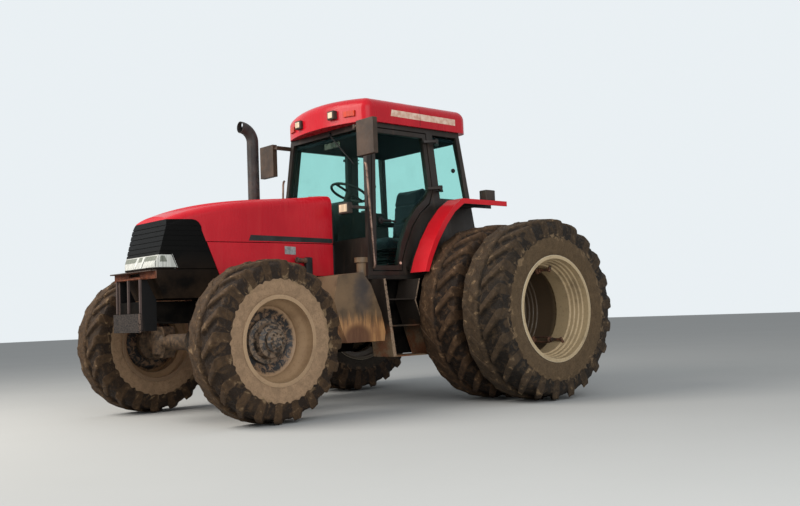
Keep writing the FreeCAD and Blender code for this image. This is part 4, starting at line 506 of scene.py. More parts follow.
def smooth_by_angle():
    """Geometry nodes that shade faces smooth, except over edges that turn sharply."""
    tree = bpy.data.node_groups.new("smooth_by_angle", "GeometryNodeTree")
    tree.interface.new_socket("Geometry", in_out="INPUT", socket_type="NodeSocketGeometry")
    tree.interface.new_socket("Geometry", in_out="OUTPUT", socket_type="NodeSocketGeometry")
    start = tree.nodes.new("NodeGroupInput")
    end = tree.nodes.new("NodeGroupOutput")
    faces = tree.nodes.new("GeometryNodeSetShadeSmooth")
    edges = tree.nodes.new("GeometryNodeSetShadeSmooth")
    edges.domain = "EDGE"
    angle = tree.nodes.new("GeometryNodeInputMeshEdgeAngle")
    gentle = tree.nodes.new("FunctionNodeCompare")
    gentle.operation = "LESS_EQUAL"
    gentle.inputs["B"].default_value = math.radians(38)
    tree.links.new(start.outputs[0], faces.inputs["Geometry"])
    tree.links.new(faces.outputs[0], edges.inputs["Geometry"])
    tree.links.new(angle.outputs["Unsigned Angle"], gentle.inputs["A"])
    tree.links.new(gentle.outputs[0], edges.inputs["Shade Smooth"])
    tree.links.new(edges.outputs[0], end.inputs[0])
    return tree


SMOOTHER = smooth_by_angle()


def soften(piece, bevel, segments=2):
    """Round a piece's edges for the light to catch, and shade it by angle."""
    weld = piece.modifiers.new("weld", "WELD")
    weld.merge_threshold = 0.00005
    if bevel:
        rounding = piece.modifiers.new("rounding", "BEVEL")
        rounding.width = bevel
        rounding.segments = segments
        rounding.limit_method = "ANGLE"
        rounding.angle_limit = math.radians(40)
        rounding.use_clamp_overlap = True
    shading = piece.modifiers.new("shading", "NODES")
    shading.node_group = SMOOTHER
    piece.modifiers.new("normals", "WEIGHTED_NORMAL").keep_sharp = True
    return piece


def dress(node, material, bevel=0.003, segments=2):
    """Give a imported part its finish."""
    piece = nodes[node]
    own = piece.data.attributes.get("custom_normal")
    if own:
        piece.data.attributes.remove(own)
    for slot in piece.material_slots:
        slot.material = material
    return soften(piece, bevel, segments)


def link_mesh(name, mesh, material, body):
    """New piece of the tractor from a mesh, riding on a body."""
    mesh.materials.append(material)
    piece = bpy.data.objects.new(name, mesh)
    bpy.context.scene.collection.objects.link(piece)
    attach(piece, body)
    return piece


class Form:
    """Solids of one material that are gathered into one new piece."""

    def __init__(self):
        self.solids = bmesh.new()

    def take(self, solid, place=Matrix()):
        bmesh.ops.transform(solid, matrix=place, verts=solid.verts)
        holder = bpy.data.meshes.new("solid")
        solid.to_mesh(holder)
        solid.free()
        self.solids.from_mesh(holder)
        bpy.data.meshes.remove(holder)

    def slab(self, low, high, edge=0.003, turn=Matrix(), segments=2):
        """Box between two corners with rounded edges, turned about its middle."""
        low, high = Vector(low), Vector(high)
        solid = bmesh.new()
        bmesh.ops.create_cube(solid, size=1.0)
        bmesh.ops.scale(solid, vec=high - low, verts=solid.verts)
        if edge:
            bmesh.ops.bevel(solid, geom=solid.edges[:], offset=edge, segments=segments, profile=0.6,
                            affect="EDGES")
        self.take(solid, Matrix.Translation((low + high) / 2) @ turn)

    def prism(self, outline, start, depth, edge=0.002):
        """Outline of points, given from start, pushed along depth."""
        solid = bmesh.new()
        corners = [solid.verts.new(Vector(start) + Vector(point)) for point in outline]
        face = solid.faces.new(corners)
        pushed = bmesh.ops.extrude_face_region(solid, geom=[face])["geom"]
        bmesh.ops.translate(solid, vec=depth, verts=[v for v in pushed if isinstance(v, bmesh.types.BMVert)])
        bmesh.ops.recalc_face_normals(solid, faces=solid.faces)
        if edge:
            bmesh.ops.bevel(solid, geom=solid.edges[:], offset=edge, segments=2, profile=0.6,
                            affect="EDGES")
        self.take(solid)

    def rod(self, points, radius, sides=12, closed=False, flat=1.0):
        """Bar that follows points. A flat below 1 squeezes its section."""
        points = [Vector(point) for point in points]
        solid = bmesh.new()
        rings = []
        count = len(points)
        across = None
        for index, point in enumerate(points):
            before = points[index - 1] if index or closed else point
            after = points[(index + 1) % count] if index < count - 1 or closed else point
            ahead = (after - before).normalized()
            if across is None:
                across = ahead.orthogonal().normalized()
            across = (across - ahead * across.dot(ahead)).normalized()
            upward = ahead.cross(across)
            size = radius[index] if hasattr(radius, "__len__") else radius
            ring = []
            for side in range(sides):
                angle = 2 * math.pi * side / sides
                ring.append(solid.verts.new(point + size * (
                    math.cos(angle) * across + math.sin(angle) * flat * upward)))
            rings.append(ring)
        pairs = list(zip(rings, rings[1:])) + ([(rings[-1], rings[0])] if closed else [])
        for one, two in pairs:
            for side in range(sides):
                after = (side + 1) % sides
                solid.faces.new((one[side], one[after], two[after], two[side]))
        if not closed:
            solid.faces.new(rings[0][::-1])
            solid.faces.new(rings[-1])
        bmesh.ops.recalc_face_normals(solid, faces=solid.faces)
        self.take(solid)

    def turned(self, profile, place, axis, sides=32, start=0.0):
        """Profile of (radius, height) pairs turned about an axis through a place."""
        solid = bmesh.new()
        rings = []
        for radius, height in profile:
            if radius < 1e-6:
                rings.append([solid.verts.new((0.0, 0.0, height))])
                continue
            rings.append([solid.verts.new((
                radius * math.cos(start + 2 * math.pi * side / sides),
                radius * math.sin(start + 2 * math.pi * side / sides), height))
                for side in range(sides)])
        for one, two in zip(rings, rings[1:]):
            for side in range(sides):
                after = (side + 1) % sides
                corners = [one[side % len(one)], one[after % len(one)], two[after % len(two)],
                           two[side % len(two)]]
                solid.faces.new(list(dict.fromkeys(corners)))
        for ring in (rings[0], rings[-1]):
            if len(ring) > 1:
                solid.faces.new(ring)
        bmesh.ops.recalc_face_normals(solid, faces=solid.faces)
        turn = Vector((0, 0, 1)).rotation_difference(Vector(axis)).to_matrix().to_4x4()
        self.take(solid, Matrix.Translation(place) @ turn)

    def bolt(self, place, axis, radius=0.011, height=0.009):
        """Hexagon head on a washer, with a short end of thread."""
        self.turned(((0.0, -0.004), (radius * 1.45, -0.004), (radius * 1.45, 0.0015), (0.0, 0.0015)),
                    place, axis, 18)
        self.turned(((0.0, 0.0), (radius, 0.0), (radius, height * 0.85), (radius * 0.86, height),
                     (0.0, height)), place, axis, 6)
        self.turned(((0.0, 0.0), (radius * 0.5, 0.0), (radius * 0.5, height * 1.4),
                     (radius * 0.4, height * 1.55), (0.0, height * 1.55)), place, axis, 12)

    def laid(self, node, corners, towards, thick, steps=(24, 3), sink=0.002):
        """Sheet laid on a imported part: a grid over four corners is cast onto the part."""
        towards = Vector(towards).normalized()
        skin = SKINS.setdefault(node, BVHTree.FromPolygons(
            [vertex.co for vertex in nodes[node].data.vertices],
            [polygon.vertices for polygon in nodes[node].data.polygons]))
        first, second, third, fourth = (Vector(corner) for corner in corners)
        solid = bmesh.new()
        outer, inner = [], []
        for row in range(steps[1] + 1):
            up = row / steps[1]
            for column in range(steps[0] + 1):
                along = column / steps[0]
                spot = first.lerp(second, along).lerp(fourth.lerp(third, along), up)
                hit = skin.ray_cast(spot, towards)[0]
                if hit is None:
                    raise ValueError("nothing of %s under %s" % (node, tuple(spot)))
                outer.append(solid.verts.new(hit - towards * thick))
                inner.append(solid.verts.new(hit + towards * sink))
        wide = steps[0] + 1

        def at(column, row):
            return row * wide + column

        for row in range(steps[1]):
            for column in range(steps[0]):
                ring = (at(column, row), at(column + 1, row), at(column + 1, row + 1), at(column, row + 1))
                solid.faces.new([outer[i] for i in ring])
                solid.faces.new([inner[i] for i in ring[::-1]])
        border = [at(c, 0) for c in range(steps[0])] + [at(steps[0], r) for r in range(steps[1])]
        border += [at(c, steps[1]) for c in range(steps[0], 0, -1)] + [at(0, r) for r in range(steps[1], 0, -1)]
        for one, two in zip(border, border[1:] + border[:1]):
            solid.faces.new((outer[one], inner[one], inner[two], outer[two]))
        bmesh.ops.recalc_face_normals(solid, faces=solid.faces)
        self.take(solid)

    def piece(self, name, material, body, slot):
        mesh = bpy.data.meshes.new(name)
        self.solids.to_mesh(mesh)
        self.solids.free()
        return soften(link_mesh(name, mesh, material, body), 0.0)


SKINS = {}


# Tyres. A pitch is the way from one lug to the next, and a half's lugs stand half a pitch
# from the other's. Columns are shares of a pitch from a lug's middle, with the lug's
# height there, and repeat mirrored about a quarter pitch.
LUG_COLUMNS = (0.0, 0.06, 0.105, 0.12, 0.14, 0.165, 0.19, 0.215)
LUG_PROFILE = ((0.0, 1.0), (0.105, 1.0), (0.12, 0.95), (0.14, 0.74), (0.165, 0.32),
               (0.19, 0.06), (0.215, 0.0), (0.5, 0.0))
LUG_TOP, LUG_ROOT = 0.12, 0.19
SHOULDER_TOP, SHOULDER_ROOT = 0.17, 0.25
TREAD_ROWS = (0.0, 0.045, 0.085, 0.125, 0.19, 0.31, 0.44, 0.57, 0.69, 0.78, 0.85)
SHOULDER_ROWS = (
    # carcass: share of the half width, depth below its crown; lug: the same from its top
    (0.900, 0.018, 0.885, 0.009),
    (0.935, 0.024, 0.915, 0.014),
    (0.955, 0.033, 0.940, 0.024),
    (0.970, 0.045, 0.962, 0.042),
    (0.980, 0.058, 0.978, 0.066),
    (0.985, 0.072, 0.986, 0.092),
)
SIDE_ROWS = (0.0, 0.12, 0.25, 0.38, 0.5, 0.62, 0.72, 0.8, 0.86, 0.93, 1.0)
SIDE_DEPTH = 0.110


def section(radius, half, rise, bead, bead_half):
    """Rows from the middle of the tread to the bead: share of the half width, then the
    carcass's (out, radius) and the lug top's (out, radius)."""
    scale = rise / 0.034
    rows = []
    for share in TREAD_ROWS:
        carcass = (share * half, radius - rise - 0.020 * scale * share ** 2.5)
        top = (share * half, radius - 0.010 * scale * share ** 2)
        rows.append((share, carcass, top))
    for out, depth, lug_out, lug_depth in SHOULDER_ROWS:
        carcass = (out * half, radius - rise - depth * scale)
        rows.append((out, carcass, (lug_out * half, radius - lug_depth * scale)))
    start = radius - SIDE_DEPTH * scale
    for way in SIDE_ROWS:
        bulge = half * (0.987 + 0.012 * math.sin(math.pi * min(1.0, way / 0.6)))
        fall = max(0.0, (way - 0.55) / 0.45)
        out = bulge + (bead_half - bulge) * fall ** 1.6
        out += 0.004 * math.exp(-((way - 0.80) / 0.03) ** 2)
        out += 0.002 * math.exp(-((way - 0.38) / 0.03) ** 2)
        spot = (out, start + (bead - start) * way)
        rows.append((1.0, spot, spot))
    return rows


def tyre_mesh(name, centre, radius, width, rise, bead, bead_half, count, seed):
    """Closed mesh of a lugged tyre about an axis along Y. The lugs' inner ends lead at
    the top."""
    half = width / 2
    pitch = 2 * math.pi / count
    sweep_all = 0.93 * half / radius
    near = 0.014
    mirrored = [0.5 - share for share in LUG_COLUMNS[:0:-1]]
    half_pitch = np.array(list(LUG_COLUMNS) + mirrored)
    shares = np.concatenate([half_pitch, half_pitch + 0.5])
    rows = section(radius, half, rise, bead, bead_half)
    lines = [(-1, row) for row in rows[::-1]] + [(1, row) for row in rows[1:]]
    corners, lugs, ways = [], [], []
    for side, (share, carcass, top) in lines:
        phase = 0.0 if side < 0 else 0.5
        from_lug = (shares - phase + 0.5) % 1.0 - 0.5
        widen = min(1.0, max(0.0, (share - 0.1) / 0.8))
        top_half = LUG_TOP + widen * (SHOULDER_TOP - LUG_TOP)
        root_half = LUG_ROOT + widen * (SHOULDER_ROOT - LUG_ROOT)
        reach = np.interp(abs(from_lug), (0.0, LUG_TOP, LUG_ROOT, 0.5),
                          (0.0, top_half, root_half, 0.5))
        angle_share = phase + np.where(from_lug < 0, -reach, reach)
        raised = np.interp(abs(from_lug), *zip(*LUG_PROFILE))
        notches = np.cos(4 * math.pi * from_lug)
        out = carcass[0]
        nose = min(1.0, max(0.0, (out - 0.010) / 0.016))
        raised = raised * nose * nose * (3 - 2 * nose)
        sweep = sweep_all * min(1.0, max(0.0, (out - near) / (0.955 * half - near)))
        for tooth in range(count):
            for around, height, notch in zip(angle_share, raised, notches):
                angle = (tooth + around) * pitch - sweep
                direction = Vector((math.sin(angle), 0.0, math.cos(angle)))
                spot = direction * radius + Vector((seed, side * out, 0.0))
                clod = noise.noise(spot * 11.0)
                crumbs = noise.noise(spot * 43.0)
                grit = noise.noise(spot * 24.0 + Vector((7.0, 0.0, 3.0)))
                filled = (1.0 - height) * (max(0.0, clod + 0.05) * 0.42 + max(0.0, grit) * 0.26)
                tread = min(1.0, share / 0.2) if share < 1.0 else 0.35
                height_now = min(1.0, height + filled * tread)
                height_now -= (0.10 * abs(crumbs) + 0.08 * max(0.0, clod) + 0.14 * max(0.0, grit)) * height
                y = carcass[0] + (top[0] - carcass[0]) * height_now
                r = carcass[1] + (top[1] - carcass[1]) * height_now
                r -= 0.005 * max(0.0, crumbs) * (1.0 if share < 1.0 else 0.12)
                corners.append((centre[0] + direction.x * r, centre[1] + side * y,
                                centre[2] + direction.z * r))
                lugs.append(height)
                ways.append((r - bead) / (radius - bead) + notch * (0.018 + 0.03 * clod))
    columns = len(shares) * count
    grid = np.arange(len(lines) * columns).reshape(len(lines), columns)
    one = grid
    two = np.roll(grid, -1, axis=1)
    three = np.roll(two, -1, axis=0)
    four = np.roll(one, -1, axis=0)
    faces = np.stack([one, four, three, two], axis=-1).reshape(-1, 4)
    mesh = bpy.data.meshes.new(name)
    mesh.from_pydata(corners, [], faces.tolist())
    for label, values in (("lug", lugs), ("way", ways)):
        attribute = mesh.attributes.new(label, "FLOAT", "POINT")
        attribute.data.foreach_set("value", np.array(values, np.float32))
    mesh.polygons.foreach_set("use_smooth", [True] * len(mesh.polygons))
    mesh.update()
    return mesh


FRONT_TYRE = dict(radius=FRONT_RADIUS, width=0.370, rise=0.034, bead=0.357, bead_half=0.158, count=20)
REAR_TYRE = dict(radius=REAR_RADIUS, width=0.467, rise=0.042, bead=0.484, bead_half=0.208, count=22)
FRONT_ARM = 0.250
REAR_INNER_Y = 1.183
REAR_OUTER_Y = REAR_INNER_Y + 0.582


def add_tyres():
    # Per tyre: valley colour (mud with painted shade), block, crest (painted highlight and dry clods), ring, ring
    # edge, scallop.
    front = mud("front_mud", (0.016, 0.009, 0.005), (0.068, 0.038, 0.018), (0.28, 0.185, 0.10),
                (0.320, 0.205, 0.120), 0.50, 0.06)
    inner = mud("inner_mud", (0.012, 0.0065, 0.0035), (0.072, 0.038, 0.018), (0.30, 0.18, 0.095),
                (0.055, 0.040, 0.027), 0.40)
    outer = mud("outer_mud", (0.012, 0.008, 0.0050), (0.058, 0.036, 0.019), (0.28, 0.185, 0.10),
                (0.110, 0.070, 0.036), 0.56, 0.10)
    for seed, (name, side) in enumerate(SIDES):
        arm = Vector((0.0, side * FRONT_ARM, 0.0))
        turn = Matrix.Rotation(STEER_AT_REST, 4, "Z")
        mesh = tyre_mesh("front_tread_" + name, arm, seed=seed * 7.0, **FRONT_TYRE)
        mesh.transform(Matrix.Translation((FRONT_AXLE_X, side * KINGPIN_Y, FRONT_RADIUS)) @ turn)
        piece = link_mesh("front_tread_" + name, mesh, front, "front_%s_wheel" % name)
        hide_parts("front_tyre_" + name)
        for place, y, finish in (("inner", REAR_INNER_Y, inner), ("outer", REAR_OUTER_Y, outer)):
            label = "rear_%s_tread_%s" % (place, name)
            centre = Vector((REAR_AXLE_X, side * y, REAR_RADIUS))
            mesh = tyre_mesh(label, centre, seed=20.0 + seed * 7.0 + y, **REAR_TYRE)
            piece = link_mesh(label, mesh, finish, "rear_%s_wheels" % name)
            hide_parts("rear_%s_tyre_%s" % (place, name))


def plain_finish(name, low, high, roughness=0.5, scale=9.0, **sockets):
    """Finish that drifts between two close colours, with a fine grain."""
    finish = Finish(name, roughness, **sockets)
    clouds = finish.noise(scale, 5.0, 0.6)
    finish.colour(finish.mix(finish.ramp(clouds, 0.32, 0.68), low, high))
    finish.rough(finish.ramp(clouds, 0.3, 0.7, max(0.04, roughness - 0.08), min(1.0, roughness + 0.1)))
    finish.bump(finish.noise(220.0, 3.0), 0.0004, 0.4)
    return finish.material


def add_hood_details(black, rust):
    """Stripe over the hood's seam, bare plate, and the strap and stub on the side panels."""
    plate_grey = plain_finish("plate_grey", (0.16, 0.165, 0.165), (0.34, 0.34, 0.33), 0.45, 22.0,
                              Specular_IOR_Level=0.3)
    stripe_grey = plain_finish("stripe_grey", (0.012, 0.013, 0.012), (0.032, 0.034, 0.033), 0.5, 5.0,
                               Specular_IOR_Level=0.2)
    for name, side in SIDES:
        out = side * 1.5
        towards = (0.0, -side, 0.0)
        stripe = Form()
        stripe.laid("hood_shell", ((1.235, out, 1.588), (0.304, out, 1.580), (0.304, out, 1.622),
                                   (1.215, out, 1.640)), towards, 0.0015, (40, 4), 0.001)
        stripe.piece("hood_stripe_" + name, stripe_grey, "hood", "black_plastic")
        strap = Form()
        strap.slab((0.582, side * 0.458 - 0.022, 1.268), (0.658, side * 0.458 + 0.022, 1.438), 0.014, segments=4)
        strap.piece("panel_strap_" + name, black, "chassis", "black_plastic")
        stub = Form()
        stub.turned(((0.0, 0.0), (0.024, 0.0), (0.026, 0.004), (0.026, 0.020), (0.020, 0.024),
                     (0.020, 0.088), (0.027, 0.092), (0.027, 0.104), (0.022, 0.110), (0.0, 0.110)),
                    (0.655, side * 0.470, 1.405), (1.0, 0.0, 0.06), 24)
        stub.slab((0.690, side * 0.448 - 0.020, 1.385), (0.725, side * 0.448 + 0.020, 1.425), 0.004)
        stub.piece("panel_stub_" + name, rust, "chassis", "rusty_steel")
    plate = Form()
    plate.laid("side_panels", ((0.862, 1.5, 1.468), (0.742, 1.5, 1.462), (0.742, 1.5, 1.536),
                               (0.862, 1.5, 1.542)), (0.0, -1.0, 0.0), 0.0025, (6, 4), 0.001)
    plate.piece("panel_plate", plate_grey, "chassis", "rim_paint")
    gasket = Form()
    for side in (1, -1):
        gasket.slab((0.284, side * 0.4235 - 0.005, 1.590), (0.300, side * 0.4235 + 0.005, 1.900), 0.002)
    gasket.piece("hood_gasket", black, "hood", "black_plastic")
    seal = Form()
    for side in (1, -1):
        seal.slab((0.284, side * 0.4235 - 0.005, 1.270), (0.300, side * 0.4235 + 0.005, 1.560), 0.002)
    seal.piece("panel_seal", black, "chassis", "black_plastic")


def add_lamps(case, lens, amber):
    """Lenses with their bezels on the roof, the posts and the fenders, and the headlamps'
    dividers."""
    bright = lamp_lens("warm_lens", (0.78, 0.62, 0.43))
    for name, side in SIDES:
        marker = Form()
        marker.laid("cab_roof", ((1.0, side * 0.420, 2.842), (1.0, side * 0.545, 2.842), (1.0, side * 0.545, 2.896),
                                 (1.0, side * 0.420, 2.896)), (-1.0, 0.0, 0.0), 0.020, (8, 4), 0.004)
        marker.piece("roof_marker_" + name, amber, "chassis", "lamp_lens")
    shaded = lamp_lens("lamp_reflector", (0.20, 0.21, 0.17), 0.2)
    white = lamp_lens("lamp_divider", (0.74, 0.75, 0.70), 0.2)
    gap = plain_finish("lamp_gap", (0.030, 0.030, 0.026), (0.060, 0.060, 0.050), 0.5)
    for name, side in SIDES:
        reflector, divider, line = Form(), Form(), Form()
        for start, end in ((0.090, 0.282), (-0.030, 0.030)) if side > 0 else ((0.090, 0.282),):
            reflector.laid("headlamps", ((3.0, side * start, 1.408), (3.0, side * end, 1.408),
                                         (3.0, side * end, 1.448), (3.0, side * start, 1.448)),
                           (-1.0, 0.0, 0.0), 0.0015, (12, 3), 0.001)
        reflector.laid("headlamps", ((2.078, side * 1.5, 1.395), (2.012, side * 1.5, 1.395),
                                     (2.035, side * 1.5, 1.446), (2.072, side * 1.5, 1.446)),
                       (0.0, -side, 0.0), 0.0015, (12, 4), 0.001)
        divider.laid("headlamps", ((3.0, side * 0.042, 1.352), (3.0, side * 0.074, 1.352),
                                   (3.0, side * 0.074, 1.447), (3.0, side * 0.042, 1.447)),
                     (-1.0, 0.0, 0.0), 0.003, (4, 6), 0.001)
        line.laid("headlamps", ((3.0, side * 0.076, 1.352), (3.0, side * 0.084, 1.352),
                                (3.0, side * 0.084, 1.447), (3.0, side * 0.076, 1.447)),
                  (-1.0, 0.0, 0.0), 0.001, (2, 6), 0.001)
        line.laid("headlamps", ((3.0, side * 0.288, 1.352), (3.0, side * 0.292, 1.352),
                                (3.0, side * 0.292, 1.447), (3.0, side * 0.288, 1.447)),
                  (-1.0, 0.0, 0.0), 0.001, (2, 6), 0.001)
        reflector.piece("headlamp_reflector_" + name, shaded, "hood", "lamp_lens")
        divider.piece("headlamp_divider_" + name, white, "hood", "lamp_lens")
        line.piece("headlamp_gap_" + name, gap, "hood", "lamp_lens")
        trim = Form()
        trim.laid("nose_grille", ((1.968, side * 1.5, 1.462), (1.9655, side * 1.5, 1.462),
                                  (1.9180, side * 1.5, 1.342), (1.9205, side * 1.5, 1.342)),
                  (0.0, -side, 0.0), 0.002, (1, 10), 0.001)
        trim.piece("headlamp_trim_" + name, white, "hood", "black_plastic")
    for node, face_x in (("roof_lamps", 1), ("post_lamps", 1), ("fender_lamps", -1)):
        low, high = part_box(node)
        for name, side in SIDES:
            own = [v.co for v in nodes[node].data.vertices if v.co.y * side > 0]
            y0, y1 = min(c.y for c in own), max(c.y for c in own)
            if node == "post_lamps":
                front = [c for c in own if c.x > high.x - 0.02]
                y0, y1 = min(c.y for c in front), max(c.y for c in front)
            x = high.x if face_x > 0 else low.x
            inset = 0.016
            shade = Form()
            shade.slab((x - 0.004, y0 + inset, low.z + inset), (x + 0.004, y1 - inset, high.z - inset),
                       0.0035, segments=3)
            label = "%s_lens_%s" % (node[:-1], name)
            shade.piece(label, bright if face_x > 0 else amber, "chassis", "lamp_lens")


def add_cab_details(black, chrome, frame_finish, dark_cloth, red_dark, strip_pale):
    """Wiper, inner mirror, rails, door handles, roof strip and seam, and headliner."""
    for name, side in SIDES:
        body = name + "_door"
        rail = Form()
        rail.rod([(0.072, side * y, z) for y, z in ((0.684, 2.350), (0.700, 2.340), (0.709, 2.310), (0.724, 2.10),
                                                    (0.747, 1.80), (0.770, 1.50), (0.781, 1.36),
                                                    (0.775, 1.330), (0.760, 1.320))], 0.0115, 16)
        rail.piece("grab_rail_" + name, chrome, "chassis", "rim_paint")
        handle = Form()
        handle.turned(((0.0, -0.010), (0.034, -0.010), (0.036, 0.004), (0.031, 0.014), (0.022, 0.018),
                       (0.012, 0.018), (0.010, 0.012), (0.0, 0.012)), (-0.085, side * 0.706, 1.792),
                      (0.0, side, 0.0), 28)
        handle.rod([(-0.075, side * 0.728, 1.790), (-0.150, side * 0.736, 1.788), (-0.235, side * 0.734, 1.785),
                    (-0.262, side * 0.722, 1.784)], 0.0095, 12)
        handle.rod([(-0.252, side * 0.730, 1.784), (-0.254, side * 0.702, 1.784)], 0.008, 10)
        handle.piece("door_handle_" + name, black, body, "black_plastic")
        stud = Form()
        stud.turned(((0.0, -0.006), (0.013, -0.006), (0.015, 0.000), (0.012, 0.006), (0.0, 0.008)),
                    (-0.284, side * 0.752, 1.371), (0.0, side, 0.0), 18)
        stud.piece("door_stud_" + name, strip_pale, body, "rim_paint")
        knob = Form()
        knob.turned(((0.0, -0.006), (0.022, -0.006), (0.024, 0.006), (0.018, 0.016), (0.0, 0.018)),
                    (-1.168, side * 0.650, 2.365), (0.0, side, 0.0), 22)
        knob.piece("quarter_knob_" + name, black, "chassis", "black_plastic")
        strip = Form()
        out = side * 1.5
        strip.laid("cab_roof", ((-0.300, out, 2.856), (-1.210, out, 2.850), (-1.210, out, 2.916),
                                (-0.315, out, 2.922)), (0.0, -side, 0.0), 0.0012, (30, 4), 0.001)
        strip.piece("roof_strip_" + name, strip_pale, "chassis", "red_paint")
        seam = Form()
        seam.laid("cab_roof", ((-0.699, out, 2.792), (-0.704, out, 2.792), (-0.704, out, 2.985),
                               (-0.699, out, 2.985)), (0.0, -side, 0.0), 0.0018, (1, 16), 0.001)
        seam.piece("roof_seam_" + name, red_dark, "chassis", "red_paint")
    wiper = Form()
    slope = Vector((-0.0917, 0.0, 1.0)).normalized()
    top = Vector((0.008, 0.060, 2.735))
    tip = Vector((0.034, 0.470, 2.372))
    wiper.rod([top, top.lerp(tip, 0.3) + Vector((0.010, 0, 0)), top.lerp(tip, 0.7) + Vector((0.006, 0, 0))],
              (0.008, 0.006, 0.005), 10)
    wiper.rod([top.lerp(tip, 0.32), tip], 0.007, 10, flat=0.6)
    wiper.turned(((0.0, -0.02), (0.022, -0.02), (0.022, 0.010), (0.014, 0.018), (0.0, 0.018)), top,
                 (1.0, 0.0, 0.09), 20)
    wiper.piece("wiper", black, "chassis", "black_plastic")
    liner = Form()
    liner.slab((-1.300, -0.600, 2.672), (-0.040, 0.600, 2.716), 0.018, segments=4)
    liner.piece("headliner", dark_cloth, "chassis", "seat_fabric")
    inner = Form()
    inner.slab((-0.075, -0.13, 2.610), (-0.060, 0.13, 2.672), 0.006, segments=3)
    inner.piece("inner_mirror", chrome, "chassis", "rim_paint")


def swell(piece, pressure, frames, cap):
    """Cloth pressure plumps the mesh, and no point moves further than the cap."""
    rest = np.array([vertex.co for vertex in piece.data.vertices])
    cloth = piece.modifiers.new("cloth", "CLOTH")
    cloth.settings.use_pressure = True
    cloth.settings.uniform_pressure_force = pressure
    cloth.settings.effector_weights.gravity = 0.0
    scene = bpy.context.scene
    for step in range(1, frames + 1):
        scene.frame_set(step)
    moved = piece.evaluated_get(bpy.context.evaluated_depsgraph_get()).to_mesh()
    after = np.array([vertex.co for vertex in moved.vertices])
    piece.modifiers.remove(cloth)
    scene.frame_set(1)
    shift = after - rest
    length = np.linalg.norm(shift, axis=1)
    shift *= (np.minimum(length, cap) / np.maximum(length, 1e-9))[:, None]
    piece.data.vertices.foreach_set("co", (rest + shift).ravel())
    piece.data.update()


def upholstered(name, outline, half, finish, channels, axis):
    """Pad cut from an outline in X and Z, swelled, with sewn channels across it."""
    form = Form()
    form.prism([(x, 0.0, z) for x, z in outline], (0.0, -half, 0.0), (0.0, 2 * half, 0.0), 0.022)
    mesh = bpy.data.meshes.new(name)
    form.solids.to_mesh(mesh)
    form.solids.free()
    piece = link_mesh(name, mesh, finish, "chassis")
    remesh = piece.modifiers.new("remesh", "REMESH")
    remesh.mode = "VOXEL"
    remesh.voxel_size = 0.009
    even = bpy.data.meshes.new_from_object(
        piece.evaluated_get(bpy.context.evaluated_depsgraph_get()))
    piece.modifiers.remove(remesh)
    piece.data = even
    swell(piece, 4.0, 20, 0.024)
    spots = np.array([vertex.co for vertex in even.vertices])
    middle = (spots.min(0) + spots.max(0)) / 2
    for channel in channels:
        depth = 0.011 * np.exp(-((spots[:, axis] - channel) / 0.010) ** 2)
        inward = np.zeros_like(spots)
        other = 2 - axis
        inward[:, other] = np.sign(middle[other] - spots[:, other]) * depth
        spots += inward * (np.abs(spots[:, 1]) < half * 0.93)[:, None]
    even.vertices.foreach_set("co", spots.ravel())
    even.polygons.foreach_set("use_smooth", [True] * len(even.polygons))
    smooth = piece.modifiers.new("smooth", "SUBSURF")
    smooth.levels = smooth.render_levels = 1
    return piece


def add_seat(black):
    """Sprung seat: swelled cushion and back, arm rests, and a bellows under them."""
    weave = Finish("seat_weave", 0.85, Specular_IOR_Level=0.15, Sheen_Weight=0.25, Sheen_Roughness=0.5)
    threads = weave.noise(1.0, 2.0, 0.5, stretch=(420.0, 420.0, 420.0))
    clouds = weave.noise(6.0, 4.0, 0.6)
    base = weave.mix(weave.ramp(clouds, 0.3, 0.7), (0.008, 0.010, 0.014), (0.020, 0.024, 0.030))
    weave.colour(weave.mix(weave.ramp(threads, 0.4, 0.6, 0.0, 0.5), base, (0.034, 0.038, 0.046)))
    weave.bump(threads, 0.0012, 0.6)
    cushion = upholstered("seat_cushion", ((-1.03, 1.575), (-1.03, 1.672), (-0.74, 1.655), (-0.62, 1.666),
                                           (-0.575, 1.645), (-0.562, 1.612), (-0.572, 1.588), (-0.62, 1.575)),
                          0.232, weave.material, (-0.90, -0.72), 0)
    back = upholstered("seat_backrest", ((-1.025, 1.700), (-1.040, 1.870), (-1.074, 2.085), (-1.112, 2.215),
                                         (-1.135, 2.250), (-1.168, 2.255), (-1.192, 2.225), (-1.197, 2.18),
                                         (-1.160, 1.890), (-1.120, 1.700)),
                       0.222, weave.material, (1.86, 2.06), 2)
    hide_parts("seat")
    stand = Form()
    for index, z in enumerate(np.linspace(1.302, 1.552, 9)):
        wide = 0.150 if index % 2 else 0.128
        stand.slab((-0.80 - wide, -wide, z - 0.016), (-0.80 + wide, wide, z + 0.016), 0.014, segments=3)
    stand.slab((-0.96, -0.16, 1.272), (-0.64, 0.16, 1.296), 0.006)
    stand.slab((-1.02, -0.21, 1.556), (-0.60, 0.21, 1.574), 0.006)
    for side in (1, -1):
        stand.slab((-1.100, side * 0.230 - 0.028, 1.840), (-0.805, side * 0.230 + 0.028, 1.895), 0.020, segments=4)
        stand.rod([(-1.085, side * 0.236, 1.850), (-1.088, side * 0.243, 1.760), (-1.040, side * 0.236, 1.640),
                   (-1.000, side * 0.200, 1.566)], 0.011, 10)
    stand.rod([(-1.150, -0.226, 1.868), (-1.150, 0.226, 1.868)], 0.014, 12)
    stand.piece("seat_frame", black, "chassis", "black_plastic")
    return back


